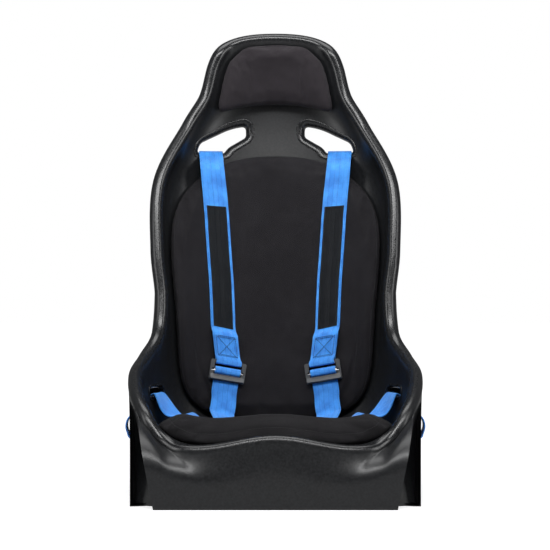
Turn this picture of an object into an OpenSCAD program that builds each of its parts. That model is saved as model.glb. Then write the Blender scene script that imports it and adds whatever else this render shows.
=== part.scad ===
// Racing bucket seat with a moulded one-piece shell, two pads, a seat cushion
// and a four-point webbing harness.
// +Z is up, the occupant faces -Y, and the origin is on the floor, midway
// between the four bolt holes in the base. All sizes in millimetres.

/* [Shell outline] */
// Overall height
seat_h = 888; // [800:1:960]
// Overall width across the head
head_w = 286; // [260:1:320]
// Overall width across the shoulders
shoulder_w = 492; // [460:1:530]
// Overall width at the waist
waist_w = 462; // [430:1:500]
// Overall width across the hips
hip_w = 544; // [520:1:600]
// How far each flank of the base stands in from the hips
flank_in = 16; // [8:1:24]
// Width of the front panel at the floor
panel_w = 424; // [380:1:450]

/* [Shell depth] */
// Front of the base, ahead of the origin
base_front = 267; // [250:1:280]
// Rear end of the base, behind the origin
base_rear = 190; // [175:1:200]
// Height of the front lip at the middle
lip_h = 128; // [115:1:140]
// Depth of the two thigh dips in the front lip
thigh_dip = 17; // [0:1:24]
// Height of the seat pan at its lowest
pan_h = 48; // [40:1:60]
// Rake of the back at shoulder height, behind the origin
back_y = 272; // [260:1:282]

/* [Shell section] */
// Thickness of the moulded wall
skin = 5; // [4:0.5:6]
// Outer radius of the rolled rim
rim_r = 13; // [11:0.5:15]
// Depth of the return lip behind the rim
return_lip = 16; // [10:1:20]
// Width of the flange that the base stands on
foot_w = 34; // [30:1:40]

/* [Pads] */
// Thickness of the backrest pad
back_pad_t = 27; // [20:1:34]
// Half width of the backrest pad, laid flat
back_pad_half = 236; // [210:1:244]
// Thickness of the headrest pad
head_pad_t = 27; // [20:1:34]
// Thickness of the seat cushion
cushion_t = 36; // [28:1:44]
// Extra height of the cushion's front bolster
bolster_h = 15; // [0:1:20]
// Thickness of a hook-and-loop tape with its mate
tape_t = 2.5; // [2:0.5:4]

/* [Harness] */
// Width of the webbing
web_w = 50; // [44:1:52]
// Thickness of the webbing
web_t = 2.4; // [1.6:0.2:3]
// Distance between the two shoulder straps where they leave the slots
strap_gap = 260; // [240:2:280]
// Width of the sewn patch on a shoulder strap
patch_w = 39; // [30:1:44]
// Width of an adjuster's frame
adjuster_w = 70; // [64:1:76]
// Height of an adjuster's frame
adjuster_h = 40; // [36:1:46]
// Thickness of an adjuster's frame
adjuster_t = 3.5; // [3:0.5:5]
// Travel of an adjuster's lock bar
lock_travel = 2.5; // [1:0.5:3]

/* [Mounting] */
// Distance between the front and rear mounting bolts
bolt_pitch = 290; // [290:1:290]
// Diameter of a mounting bolt hole, for M8
bolt_hole = 8.5; // [8.5:0.5:10.5]
// Thickness of the steel base rails
rail_t = 3; // [2.5:0.5:4]

/* [Hidden] */
gap = 0.15;          // clearance between pieces that rest on each other
base_w = hip_w - 2 * flank_in;

pan_steps = 44;      // facets of the tub from lip to crown
side_steps = 24;     // facets of the tub from side to side
roll_steps = 4;      // facets round the rolled rim
skirt_steps = 4;     // facets down the outer wall

// Sections of the tub from the front lip to the crown of the head. Each one
// gives the middle line [y, z], the inner edge of the rim [x, y, z], and how
// the section between them bulges: across the floor, up the wall, and height.
sections = [
  [[-base_front + 26, lip_h], [hip_w / 2 - 84, -base_front + 48, lip_h - 2], [0.50, 0.86, 0.20]],
  [[-base_front + 114, lip_h - 36], [hip_w / 2 - 43, -base_front + 116, 176], [0.80, 0.99, 0.15]],
  [[-35, pan_h + 12], [hip_w / 2 - 29, -57, 220], [0.80, 1.04, 0.20]],
  [[87, pan_h], [hip_w / 2 - 42, 19, 250], [0.80, 1.04, 0.25]],
  [[177, pan_h + 72], [waist_w / 2 - 22, 75, 292], [0.75, 1.00, 0.30]],
  [[back_y - 61, 260], [waist_w / 2 - 27, 109, 366], [0.70, 1.00, 0.35]],
  [[back_y - 32, 400], [shoulder_w / 2 - 32, 137, 458], [0.68, 1.00, 0.38]],
  [[back_y + 5, seat_h - 318], [shoulder_w / 2 - 34, 183, seat_h - 303], [0.62, 0.98, 0.40]],
  [[back_y + 33, seat_h - 188], [head_w / 2 + 20, 237, seat_h - 198], [0.55, 0.90, 0.40]],
  [[back_y + 40, seat_h - 126], [head_w / 2 - 14, 259, seat_h - 136], [0.50, 0.85, 0.40]],
  [[back_y + 38, seat_h - 63], [head_w / 2 - 30, 273, seat_h - 72], [0.50, 0.85, 0.40]],
  [[back_y + 26, seat_h - rim_r - 2], [head_w / 2 - 45, 281, seat_h - 41], [0.50, 0.84, 0.15]]
];
last = len(sections) - 1;

function flat(s) = [s[0][0], s[0][1], s[1][0], s[1][1], s[1][2], s[2][0], s[2][1], s[2][2]];
stations = [for (s = sections) flat(s)];

// A smooth curve through the stations, u from 0 at the lip to last at the crown
function station(u) =
  let (
    i = min(max(floor(u), 0), last - 1),
    t = u - i,
    b = stations[i],
    c = stations[i + 1],
    a = i > 0 ? stations[i - 1] : 2 * b - c,
    d = i + 2 <= last ? stations[i + 2] : 2 * c - b
  )
  0.5 * (2 * b + (c - a) * t + (2 * a - 5 * b + 4 * c - d) * t ^ 2 + (3 * b - a - 3 * c + d) * t ^ 3);

function ease(a, b, x) = let (t = min(max((x - a) / (b - a), 0), 1)) t * t * (3 - 2 * t);
function unit(a) = a / norm(a);

// A point of the tub, v from -1 at the left rim to 1 at the right one
function tub(u, v) =
  let (
    s = station(u),
    a = abs(v),
    rise = 3 * a * a * (1 - a) * s[7] + a ^ 3,
    x = s[2] * (3 * a * (1 - a) ^ 2 * s[5] + 3 * a * a * (1 - a) * s[6] + a ^ 3),
    dip = thigh_dip * sin(180 * min(x / 274, 1)) ^ 2 * (1 - ease(0, 1.3, u))
  )
  [x * sign(v), s[0] + (s[3] - s[0]) * rise, s[1] + (s[4] - s[1]) * rise - dip];

// Its normal, towards the occupant
function tub_normal(u, v) =
  let (
    a = min(max(u, 0.12), last - 0.12),
    b = min(max(v, -0.96), 0.96)
  )
  unit(cross(tub(a, b + 0.01) - tub(a, b - 0.01), tub(a + 0.02, b) - tub(a - 0.02, b)));

// The rim as a closed loop of [u, v]: lip, right side, crown, left side
rim_loop = [
  for (i = [0 : side_steps - 1]) [0, 2 * i / side_steps - 1],
  for (i = [0 : pan_steps - 1]) [last * i / pan_steps, 1],
  for (i = [0 : side_steps - 1]) [last, 1 - 2 * i / side_steps],
  for (i = [0 : pan_steps - 1]) [last * (1 - i / pan_steps), -1]
];
loop_n = len(rim_loop);
rim_points = [for (p = rim_loop) tub(p[0], p[1])];
function around(list, i) = list[(i + len(list)) % len(list)];

// Plan of the base where it stands, right half, from the front panel's edge
// round the scooped front corner to the flank
step = last / pan_steps;
rail_end = 16;       // how far a rail runs past its bolts, and the flank with it
corner_plan = [
  [panel_w / 2 - 58, -base_front],
  [panel_w / 2 - 32, -base_front],
  [panel_w / 2 - 13, -base_front],
  [panel_w / 2, -base_front],
  [panel_w / 2 + 3, -base_front + 62],
  [base_w / 2 - 8, -base_front + 76],
  [base_w / 2, -base_front + 60],
  [base_w / 2, -bolt_pitch / 2 - rail_end]
];
panel_edge = 3;      // which of those is the edge of the front panel
flank_edge = 6;      // and which the front edge of the flank
corner_n = len(corner_plan) - 1;
undercut = 0.6;      // below 1, the wall falls in under the rim at once
plumb_from = 0.5;    // share of its height below which the wall is upright
rear_u = 3.9;        // where the outer wall leaves the floor
lip_u = 5.4;         // where it has shrunk to the return lip

function base_point(u, v) =
  let (
    j = u / step,
    k = corner_plan[min(round(j), corner_n)],
    t = (u - corner_n * step) / (rear_u - corner_n * step),
    x = j <= corner_n ? k[0] : base_w / 2,
    y = j <= corner_n ? k[1] : min(k[1] + (base_rear - k[1]) * t, base_rear)
  )
  u == 0 ? [v * corner_plan[0][0], -base_front, 0] : [x * sign(v), y, 0];

// One rib of the outer wall, from the rim's edge round the roll and down to
// the hem, as [outside points, inside points]
function rib(i) =
  let (
    u = rim_loop[i][0],
    v = rim_loop[i][1],
    p = rim_points[i],
    along = unit(around(rim_points, i + 1) - around(rim_points, i - 1)),
    n0 = tub_normal(u, v),
    n = unit(n0 - (n0 * along) * along),
    off = cross(along, n),
    back = ease(3, 4.8, u),
    drop0 = unit([0, back, back - 1]),
    drop = unit(drop0 - (drop0 * along) * along),
    turn0 = atan2(-(drop * n), drop * off),
    turn = turn0 < 0 ? 200 : min(turn0, 200),
    centre = p - rim_r * n,
    roll = [for (k = [1 : roll_steps]) let (f = turn * k / roll_steps) sin(f) * off + cos(f) * n],
    edge = centre + rim_r * roll[roll_steps - 1],
    heading = unit(cos(turn) * off - sin(turn) * n),
    off_floor = ease(rear_u, lip_u, u),
    hem = (edge + heading * return_lip) * off_floor + base_point(u, v) * (1 - off_floor),
    fall = hem - edge,
    corner = round(u / step),
    set_in = function(t) (1 - off_floor) * min(t / plumb_from, 1) ^ undercut + off_floor * t,
    wall = function(k, short = 0)
      let (
        t = (1 - short) * (k / skirt_steps * (1 - off_floor) + off_floor),
        in_scoop = corner > panel_edge && corner < flank_edge,
        s = [corner == panel_edge || in_scoop ? t : set_in(t), in_scoop ? t : set_in(t), t]
      )
      edge + [fall[0] * s[0], fall[1] * s[1], fall[2] * s[2]],
    face = unit(cross(fall, along)),
    out = face * roll[roll_steps - 1] < 0 ? -face : face,
    turn_in = foot_w * (1 - off_floor) + skin * 1.5 * off_floor,
    inward = (1 - off_floor) * unit([base_in(i)[0], base_in(i)[1], 0]) - off_floor * out,
    up = (1 - off_floor) * [0, 0, 1] - off_floor * unit(fall)
  )
  [
    [
      for (r = roll) centre + rim_r * r,
      for (k = [1 : skirt_steps]) wall(k),
      hem + unit(inward) * turn_in
    ],
    [
      for (r = roll) centre + (rim_r - skin) * r,
      for (k = [1 : skirt_steps - 1]) wall(k, skin / norm(fall)) - skin * out,
      hem + skin * unit(inward) + skin * unit(up),
      hem + unit(inward) * turn_in + skin * unit(up)
    ]
  ];

// Inward direction of the base's outline at a loop point
function base_at(i) = let (q = around(rim_loop, i)) base_point(q[0], q[1]);
function base_in(i) =
  let (
    d = base_at(i + 1) - base_at(i - 1),
    s = norm(d) < 0.01 ? [0, around(rim_loop, i)[1]] : unit(d)
  )
  [-s[1], s[0]];

// --- Places on the tub ----------------------------------------------------

tub_grid = [
  for (i = [0 : pan_steps]) [for (j = [0 : side_steps]) tub(last * i / pan_steps, 2 * j / side_steps - 1)]
];

// A point on the facets of the moulded tub itself
function on_facet(u, v) =
  let (
    r = min(max(u, 0), last - 0.001) / step,
    c = (min(max(v, -1), 0.9999) + 1) * side_steps / 2,
    i = floor(r),
    j = floor(c),
    a = r - i,
    b = c - j,
    p = tub_grid[i][j],
    q = tub_grid[i + 1][j + 1],
    m = b >= a ? tub_grid[i][j + 1] : tub_grid[i + 1][j]
  )
  b >= a ? p + b * (m - p) + a * (q - m) : p + a * (m - p) + b * (q - m);

// Station where the middle line reaches a height (axis 1) or a depth (axis 0)
function find_u(axis, w, lo, hi, n = 16) =
  let (mid = (lo + hi) / 2)
  n == 0 ? mid : station(mid)[axis] < w ? find_u(axis, w, mid, hi, n - 1) : find_u(axis, w, lo, mid, n - 1);
function back_u(h) = find_u(1, h, 3, last);
function pan_u(d) = find_u(0, d, 0, 4);

// v at which the tub, raised by a height, reaches a width (axis 0) or a
// height (axis 2)
function find_v(u, axis, w, rise = 0, lo = 0.02, hi = 0.96, n = 16) =
  let (mid = (lo + hi) / 2)
  n == 0 ? mid
  : (tub(u, mid) + rise * tub_normal(u, mid))[axis] < w ? find_v(u, axis, w, rise, mid, hi, n - 1)
  : find_v(u, axis, w, rise, lo, mid, n - 1);

// v at a distance s from the middle, measured along the tub's section
girth_steps = 10;
function girth(u) =
  let (
    p = [for (k = [0 : girth_steps]) tub(u, k / girth_steps)],
    spans = [for (k = [1 : girth_steps]) norm(p[k] - p[k - 1])]
  )
  [for (k = 0, sum = 0; k <= girth_steps; sum = sum + (k < girth_steps ? spans[k] : 0), k = k + 1) sum];
function v_at(u, s) =
  let (g = girth(u), table = [for (k = [0 : girth_steps]) [g[k], k / girth_steps]])
  sign(s) * min(lookup(abs(s), table), 0.96);

// A point laid on the back, h up its middle line and s to the side, or on the
// pan, at depth d, and raised off it by a height
function lay(u, s, rise) = let (v = v_at(u, s)) on_facet(u, v) + rise * tub_normal(u, v);
function on_back(s, h, rise = 0) = lay(back_u(h), s, rise);
function on_pan(s, d, rise = 0) = lay(pan_u(d), s, rise);

// --- Outlines -------------------------------------------------------------

// A polygon with its corners rounded from a length before to one after each
function soft(points, lengths, n = 4) =
  let (m = len(points))
  [
    for (i = [0 : m - 1])
      let (
        p = points[i],
        a = p + unit(points[(i + m - 1) % m] - p) * lengths[i],
        b = p + unit(points[(i + 1) % m] - p) * lengths[i]
      )
      for (k = [0 : n]) let (t = k / n) (1 - t) ^ 2 * a + 2 * t * (1 - t) * p + t ^ 2 * b
  ];
// The same outline with no stretch longer than a limit
function dense(points, limit) =
  let (m = len(points))
  [
    for (i = [0 : m - 1])
      let (a = points[i], b = points[(i + 1) % m], n = ceil(norm(b - a) / limit))
      for (k = [0 : max(n, 1) - 1]) a + (b - a) * k / max(n, 1)
  ];
function power(x, n) = sign(x) * abs(x) ^ (2 / n);
// A rounded outline, squarer at one end than at the other
function pad_outline(half, low, mid, high, low_n, high_n, count) =
  [
    for (k = [0 : count - 1])
      let (a = 360 * k / count, n = sin(a) > 0 ? high_n : low_n)
      [half * power(cos(a), n), mid + (sin(a) > 0 ? high - mid : mid - low) * power(sin(a), n)]
  ];

// --- Solids from rings ----------------------------------------------------

function ring_faces(rings, n) =
  [
    for (k = [0 : rings - 2], i = [0 : n - 1])
      let (a = k * n + i, b = k * n + (i + 1) % n)
      each [[a, b, b + n], [a, b + n, a + n]]
  ];
function cap_faces(ring, n, tip, turn) =
  [for (i = [0 : n - 1]) let (a = ring * n + i, b = ring * n + (i + 1) % n) turn ? [tip, b, a] : [tip, a, b]];

// A padded solid on the tub. Each ring is [share of the outline, inset from
// it, share of the thickness], from the middle of the face round to the back.
pad_rings = [
  [0.4, 0, 1], [0.68, 0, 0.99], [0.85, 0, 0.97],
  [1, 22, 0.93], [1, 13, 0.84], [1, 6, 0.69], [1, 1.5, 0.5], [1, 0, 0.32], [1, 3, 0.1], [1, 8, 0],
  [0.7, 0, 0], [0.35, 0, 0]
];
module padded(place, outline, centre, thick, rings = pad_rings) {
  n = len(outline);
  function at(p, ring) =
    let (d = norm(p - centre))
    centre + (p - centre) * min(ring[0], max((d - ring[1]) / d, 0));
  points = [
    for (ring = rings, p = outline) let (q = at(p, ring)) place(q, tape_t + gap + ring[2] * thick(q)),
    place(centre, tape_t + gap + thick(centre)),
    place(centre, tape_t + gap)
  ];
  faces = concat(
    ring_faces(len(rings), n),
    cap_faces(0, n, len(rings) * n, true),
    cap_faces(len(rings) - 1, n, len(rings) * n + 1, false)
  );
  polyhedron(points = points, faces = faces, convexity = 6);
}

// A strip of webbing along a route of [point, width direction], moved off it
// by a shift, over part of the route
module ribbon(route, wide, thick, shift = 0, first = 0, end = -1) {
  m = len(route);
  stop = end < 0 ? m - 1 : end;
  points = [
    for (i = [first : stop])
      let (
        t = unit(route[min(i + 1, m - 1)][0] - route[max(i - 1, 0)][0]),
        w = unit(route[i][1]),
        n = unit(cross(t, w)),
        p = route[i][0] + n * shift
      )
      for (c = [[-1, -1], [1, -1], [1, 1], [-1, 1]]) p + c[0] * w * wide / 2 + c[1] * n * thick / 2
  ];
  count = stop - first + 1;
  faces = concat(
    [for (i = [0 : count - 2], k = [0 : 3])
      let (a = 4 * i + k, b = 4 * i + (k + 1) % 4)
      each [[a, b + 4, b], [a, a + 4, b + 4]]],
    [[0, 1, 2], [0, 2, 3]],
    [let (a = 4 * (count - 1)) each [[a, a + 2, a + 1], [a, a + 3, a + 2]]]
  );
  polyhedron(points = points, faces = faces, convexity = 8);
}

// A smooth curve through a list of vectors, with k steps from one to the next
function curve(list, k) =
  let (m = len(list))
  [
    for (i = [0 : m - 2], j = [0 : k - 1])
      let (
        t = j / k,
        b = list[i],
        c = list[i + 1],
        a = i > 0 ? list[i - 1] : 2 * b - c,
        d = i + 2 < m ? list[i + 2] : 2 * c - b
      )
      0.5 * (2 * b + (c - a) * t + (2 * a - 5 * b + 4 * c - d) * t ^ 2 + (3 * b - a - 3 * c + d) * t ^ 3),
    list[m - 1]
  ];

// A patch of the tub's own facets, from one height off it to another
module facet_patch(i0, i1, j0, j1, low, high) {
  rows = i1 - i0 + 1;
  wide = j1 - j0 + 1;
  n = rows * wide;
  points = [
    for (rise = [low, high], i = [i0 : i1], j = [j0 : j1])
      tub_grid[i][j] + rise * tub_normal(i * step, 2 * j / side_steps - 1)
  ];
  rim = concat(
    [for (j = [0 : wide - 2]) j],
    [for (i = [0 : rows - 2]) i * wide + wide - 1],
    [for (j = [wide - 1 : -1 : 1]) (rows - 1) * wide + j],
    [for (i = [rows - 1 : -1 : 1]) i * wide]
  );
  m = len(rim);
  faces = concat(
    [for (i = [0 : rows - 2], j = [0 : wide - 2])
      let (a = i * wide + j, b = a + 1, c = b + wide, d = a + wide)
      each [[a, b, c], [a, c, d], [n + a, n + c, n + b], [n + a, n + d, n + c]]],
    [for (k = [0 : m - 1])
      let (a = rim[k], b = rim[(k + 1) % m])
      each [[a, n + a, n + b], [a, n + b, b]]]
  );
  polyhedron(points = points, faces = faces, convexity = 4);
}

// Places rigid pieces: X to the side, Y away from the occupant, Z up
module stand(origin, x, y, z) {
  multmatrix([
    [x[0], y[0], z[0], origin[0]],
    [x[1], y[1], z[1], origin[1]],
    [x[2], y[2], z[2], origin[2]],
    [0, 0, 0, 1]
  ]) children();
}
module both(side) {
  mirror([side == "left" ? 1 : 0, 0, 0]) children();
}

// --- Harness geometry, right side -----------------------------------------

// Clear opening of a shoulder slot, as [to the side, height] on the back
seat_line = seat_h - 237;                  // where the strap crosses the slot's lower edge
slot_half = strap_gap / 2;
shoulder_slot = dense(soft([
  [slot_half - 73, seat_line + 33], [slot_half - 38, seat_line + 12], [slot_half - 30, seat_line],
  [slot_half + 26, seat_line], [slot_half + 21, seat_line + 18], [slot_half - 44, seat_line + 51],
  [slot_half - 73, seat_line + 55]
], [6, 8, 5, 4, 10, 20, 9], 3), 13);
// and of a hip slot, as [along it, up the wall]
hip_slot = dense(soft([[-33, -8], [33, -8], [33, 8], [-33, 8]], [7, 7, 7, 7], 3), 12);
hip_u = 3.15;                              // station of the hip slot
hip_z = 186;                               // height of the hip slot
lip_in = 8.5;                              // how far a shoulder slot's trim reaches into its hole
hip_lip = 5;                               // the same at a hip slot
trim_depth = 10;                           // how deep a shoulder slot's trim goes
hip_trim_depth = 8;

// Places on the tub: [to the side, height] on the back, or round a hip slot
// [along it, up the wall]
on_shoulder = function(p, rise) on_back(p[0], p[1], rise);
hip_span = norm(tub(hip_u + 0.1, 0.75) - tub(hip_u - 0.1, 0.75)) / 0.2;
on_hip = function(p, rise)
  let (u = hip_u - p[0] / hip_span, v = find_v(u, 2, hip_z + p[1], 0, 0.4))
  on_facet(u, v) + rise * tub_normal(u, v);

// Layers that lie on the tub
pad_face = tape_t + gap + back_pad_t;      // front of the backrest pad off the tub
cushion_face = tape_t + gap + cushion_t;   // top of the seat cushion off the tub
web_layer = web_t + gap;
web_mid = web_layer - web_t / 2;           // middle of webbing laid on a face
proud = 3.4;                               // how far the pad's flat facets stand off its curved face
strap_rise = pad_face + proud + web_mid;
slot_edge_rise = 2.3 + web_mid;

// How far to the side a shoulder strap runs, against height
strap_lie = [
  [100, 103], [160, 98], [203, 93], [270, 100], [seat_line - 276, 105], [seat_line - 136, 115],
  [seat_line - 51, 123], [seat_line - 1, 128]
];
function strap_x(h) = lookup(h, strap_lie) * strap_gap / 260;

// A point of a strap on the back and its width direction, at a height
function on_line(h, x, rise) =
  let (u = back_u(h), v = find_v(u, 0, x, rise))
  [on_facet(u, v) + rise * tub_normal(u, v), unit(tub(u, v + 0.03) - tub(u, v - 0.03))];
function on_strap(h, rise) = on_line(h, strap_x(h), rise);
function behind(h, rise) = on_line(h, slot_half - 2, rise);

// The adjuster's own frame: origin on its back face at the lock bar
adjuster_z = 203;
adjuster_tilt = 6;                         // inner end lower
adjuster_face = pad_face + 2 * web_layer + 5.5;
adj_u = back_u(adjuster_z);
adj_v = find_v(adj_u, 0, strap_x(adjuster_z), adjuster_face);
adj_y = -tub_normal(adj_u, adj_v);
adj_o = on_facet(adj_u, adj_v) - adjuster_face * adj_y;
adj_up = let (d = tub(adj_u + 0.1, adj_v) - tub(adj_u - 0.1, adj_v)) unit(d - (d * adj_y) * adj_y);
adj_side = cross(adj_y, adj_up);
adj_x = cos(adjuster_tilt) * adj_side + sin(adjuster_tilt) * adj_up;
adj_z = cross(adj_x, adj_y);
function at_adjuster(y, z) = [adj_o + y * adj_y + z * adj_z, adj_x];

// Bars and window of the adjuster, up and down from the lock bar
bar_r = 3.6;                               // lock bar
bar_end_r = 1.5;                           // its round ends in the rails
bar_y = -adjuster_t / 2;
wrap_r = bar_r + 0.3 + web_t / 2;          // middle of the webbing round it
lower_bar_h = 12;
lower_bar_top = -bar_r - 0.6 - web_t;
lower_bar_low = lower_bar_top - lower_bar_h;
upper_bar_h = 5.5;
upper_bar_low = lower_bar_low + adjuster_h - upper_bar_h;
window_w = web_w + 4;
rail_slot_w = window_w + 8;
nose_out = 4.7;                            // how far the lower bar's bevelled nose stands out

// Anchor tabs for the webbing: a plate off the wall on a spacer, with a bar
// that the webbing is sewn round. In the tab's own plane the bar is upwards
// of the bolt, and the second axis leads away from the wall.
spacer_t = 3;
tab_t = 3;
tab_h = 42;
tab_bolt = -12;                            // the bolt, along the tab
tab_bar_low = 10;
tab_bar_h = 6;
tab_window = 7;
bolt_r = 4;
inner_layer = spacer_t / 2;
outer_layer = spacer_t + tab_t + web_mid;
tab_loop = [
  [tab_bar_low + tab_bar_h + 16, outer_layer - 1],
  [tab_bar_low + tab_bar_h + 4, outer_layer],
  [tab_bar_low, outer_layer],
  [tab_bar_low - 1, spacer_t + tab_t + 1],
  [tab_bar_low - web_mid, spacer_t + tab_t],
  [tab_bar_low - web_mid, spacer_t],
  [tab_bar_low - 1, spacer_t - 1],
  [tab_bar_low, inner_layer],
  [tab_bar_low + tab_bar_h + 22, inner_layer]
];

// Anchors of the shoulder straps behind the back
anchor_h = seat_line - 211;
anchor_u = back_u(anchor_h);
anchor_v = find_v(anchor_u, 0, slot_half);
anchor_n = tub_normal(anchor_u, anchor_v);
anchor_o = on_facet(anchor_u, anchor_v) - skin * anchor_n;
anchor_rise = tub(anchor_u + 0.1, anchor_v) - tub(anchor_u - 0.1, anchor_v);
anchor_up = unit(anchor_rise - (anchor_rise * anchor_n) * anchor_n);
anchor_side = cross(-anchor_n, anchor_up);
function at_shoulder_tab(up, out) = [anchor_o + up * anchor_up - out * anchor_n, -anchor_side];

// Mountings in the base and on the flanks
bolt_rows = [-bolt_pitch / 2, bolt_pitch / 2];
base_bolt_x = base_w / 2 - 20;
side_bolt_z = 60;
bush_r = 7;
bush_flange = 5;                           // how far the bush's flange overhangs it
bush_play = 0.2;                           // radial clearance round a bush
rail_in = 12;                              // from the flank's outer face to the rail's upright
rail_top = 92;
lap_y = 58;                                // where the lap straps leave the flanks
flank_slot_z = 152;
flank_slot_h = 20;
lap_anchor_z = 62;

// --- Routes of the webbing ------------------------------------------------

// Shoulder strap: its sewn fold round the adjuster's upper bar, up the pad,
// through the slot and down behind the back to its anchor
fold_end = 72;                             // end of the sewn fold above the lock bar
fold_lean = 0.27;                          // how far the sewn fold leans out, per length
function at_fold(y, z) =
  let (a = at_adjuster(y, z)) [a[0] + fold_lean * max(z - upper_bar_low, 0) * adj_x, a[1]];
upper_route = [
  for (z = [fold_end, 56, 40, 26, upper_bar_low]) at_fold(web_mid, z),
  at_adjuster(0.98, upper_bar_low - 0.98),
  at_adjuster(0, upper_bar_low - web_mid),
  at_adjuster(-adjuster_t, upper_bar_low - web_mid),
  at_adjuster(-adjuster_t - 0.98, upper_bar_low - 0.98),
  for (z = [upper_bar_low, upper_bar_low + upper_bar_h]) at_adjuster(-adjuster_t - web_mid, z),
  at_fold(-adjuster_t, 27),
  for (z = [34, 48, 62, fold_end]) at_fold(-web_t / 2 - 0.05, z),
  for (h = [288 : 24.3 : seat_line - 47]) on_strap(h, strap_rise),
  on_strap(seat_line - 33, strap_rise - 6),
  on_strap(seat_line - 15, slot_edge_rise + 5),
  on_strap(seat_line - 6, slot_edge_rise + 0.6),
  on_strap(seat_line - 2, slot_edge_rise - 1),
  on_strap(seat_line + 1.2, -1.5),
  on_strap(seat_line + web_layer, -trim_depth * 0.6),
  on_strap(seat_line + web_layer, -trim_depth - 1),
  behind(seat_line - 2, -trim_depth - 3.4),
  behind(seat_line - 12, -trim_depth - 2.6),
  for (h = [seat_line - 30 : -30 : anchor_h + 80]) behind(h, -skin - web_t / 2 - 0.7),
  at_shoulder_tab(60, inner_layer),
  at_shoulder_tab(44, inner_layer + 3.4),
  for (q = tab_loop) at_shoulder_tab(q[0], q[1])
];
patch_from = 16;                           // stations of the route under the sewn patch
patch_to = 26;
patch_t = 1;

// Lower strap: its free tail, round the lock bar, down the pad to the cushion
tail_y = web_mid + web_layer + 0.2;
lap_rise = cushion_face + web_t / 2 + 4;   // lap strap's middle on the cushion
seam_rise = lap_rise + web_layer + 2;      // lower strap's middle where it is sewn to it
seam_s = 105;                              // place of the seam on the pan
seam_d = 54;
seam_across = unit(on_pan(seam_s + 20, seam_d) - on_pan(seam_s - 20, seam_d));
lower_route = [
  for (z = [-34, -24, -12]) at_adjuster(tail_y, z),
  at_adjuster(tail_y - 0.3, -2),
  for (a = [0 : 30 : 180]) at_adjuster(bar_y + wrap_r * cos(a), lock_travel + wrap_r * sin(a)),
  for (a = [180 : 30 : 270]) at_adjuster(bar_y + wrap_r * cos(a), wrap_r * sin(a)),
  at_adjuster(0, -wrap_r),
  at_adjuster(1.03, lower_bar_top + 1.03),
  for (z = [lower_bar_top, -24]) at_adjuster(web_mid, z),
  at_adjuster(web_mid + 0.3, -40),
  for (h = [142, 124, 108]) on_strap(h, strap_rise + 1.5),
  [on_pan(seam_s, 142, cushion_face + 14), seam_across],
  [on_pan(seam_s, 122, cushion_face + 11), seam_across],
  [on_pan(seam_s, 106, cushion_face + 10), seam_across],
  for (d = [90, 70, 50, 34]) [on_pan(seam_s, d, seam_rise), seam_across]
];

// Lap strap: sewn to the lower strap on the cushion, up through the hip slot,
// out through the flank and down to its anchor
lap_in = on_pan(133, seam_d, lap_rise);
hip_mid = on_hip([0, 0], 0);
hip_across = unit(on_hip([-20, 0], 0) - on_hip([20, 0], 0));
// A point between the cushion and the slot: share of the way to the side,
// distance ahead of the slot and under it, and how far the strap turns
function lap_hump(share, ahead, under, turned) =
  [lap_in[0] + (hip_mid[0] - lap_in[0]) * share, hip_mid[1] - ahead, hip_z - under, -turned, 1, 0];
function beside_flank(out, z, y = lap_y) = [base_w / 2 + out, y, z, 0, 1, 0];
lap_points = [
  for (s = [62, 86, seam_s]) concat(on_pan(s, seam_d, lap_rise), [0, 1, 0]),
  concat(lap_in, [0, 1, 0]),
  lap_hump(0.1, 8, 65, 0),
  lap_hump(0.25, 11, 46, 0.05),
  lap_hump(0.38, 12, 39, 0.15),
  lap_hump(0.52, 11, 43, 0.35),
  lap_hump(0.66, 8, 42, 0.6),
  lap_hump(0.78, 4, 29, 0.6),
  concat(on_hip([0, -3], 7), hip_across),
  concat(on_hip([0, -5.4], -3), hip_across),
  concat(on_hip([0, -5.8], -11), hip_across),
  beside_flank(-11, flank_slot_z + 12.5, lap_y - 3),
  beside_flank(-3, flank_slot_z + 1.5),
  beside_flank(8, flank_slot_z - 3),
  beside_flank(20, flank_slot_z - 14),
  beside_flank(23.5, flank_slot_z - 30),
  beside_flank(18, flank_slot_z - 48)
];
lap_route = concat(
  [for (q = curve(lap_points, 3)) [[q[0], q[1], q[2]], [q[3], q[4], q[5]]]],
  [for (q = tab_loop) [[base_w / 2 + q[1], lap_y, lap_anchor_z + q[0]], [0, 1, 0]]]
);

// Outlines of the pads, as [to the side, height] and for the cushion as
// [to the side, behind the origin]
head_outline = dense(soft([
  [head_w / 2 - 11, seat_h - 154], [head_w / 2 - 22, seat_h - 96], [head_w / 2 - 43, seat_h - 46],
  [head_w / 2 - 81, seat_h - 20], [81 - head_w / 2, seat_h - 20], [43 - head_w / 2, seat_h - 46],
  [22 - head_w / 2, seat_h - 96], [11 - head_w / 2, seat_h - 154], [0, seat_h - 142]
], [14, 20, 14, 14, 14, 14, 20, 14, 60], 3), 22);
head_mid = [0, seat_h - 86];
back_outline = pad_outline(back_pad_half, 114, 400, seat_line - 5, 8, 2.3, 60);
back_mid = [0, 400];
cushion_outline = pad_outline(hip_w / 2 - 40, -223, -45, 117, 8, 5, 60);
cushion_mid = [0, -45];
bolster = [-187, -125];                    // the cushion's front bolster falls away between these
pressed = tape_t - 0.8;                    // a tape under the heavier pads

// --- Plates, bores and slot shapes ----------------------------------------

module plate_outline(w, h, r) {
  polygon(soft([[-w / 2, -h / 2], [w / 2, -h / 2], [w / 2, h / 2], [-w / 2, h / 2]], [r, r, r, r], 5));
}
module bore(r, h) {
  cylinder(h = h, r = r, center = true, $fn = 48);
}
module rounded_slot(long, high, deep) {
  linear_extrude(deep, center = true) plate_outline(high, long, high * 0.45);
}
// Places on the flank, X away from the seat
module at_flank(y, z) {
  translate([base_w / 2, y, z]) rotate([0, 90, 0]) children();
}
// and on the back of the shell at a shoulder strap's anchor, Z away from it
module at_anchor() {
  stand(anchor_o, anchor_up, anchor_side, -anchor_n) children();
}

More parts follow.
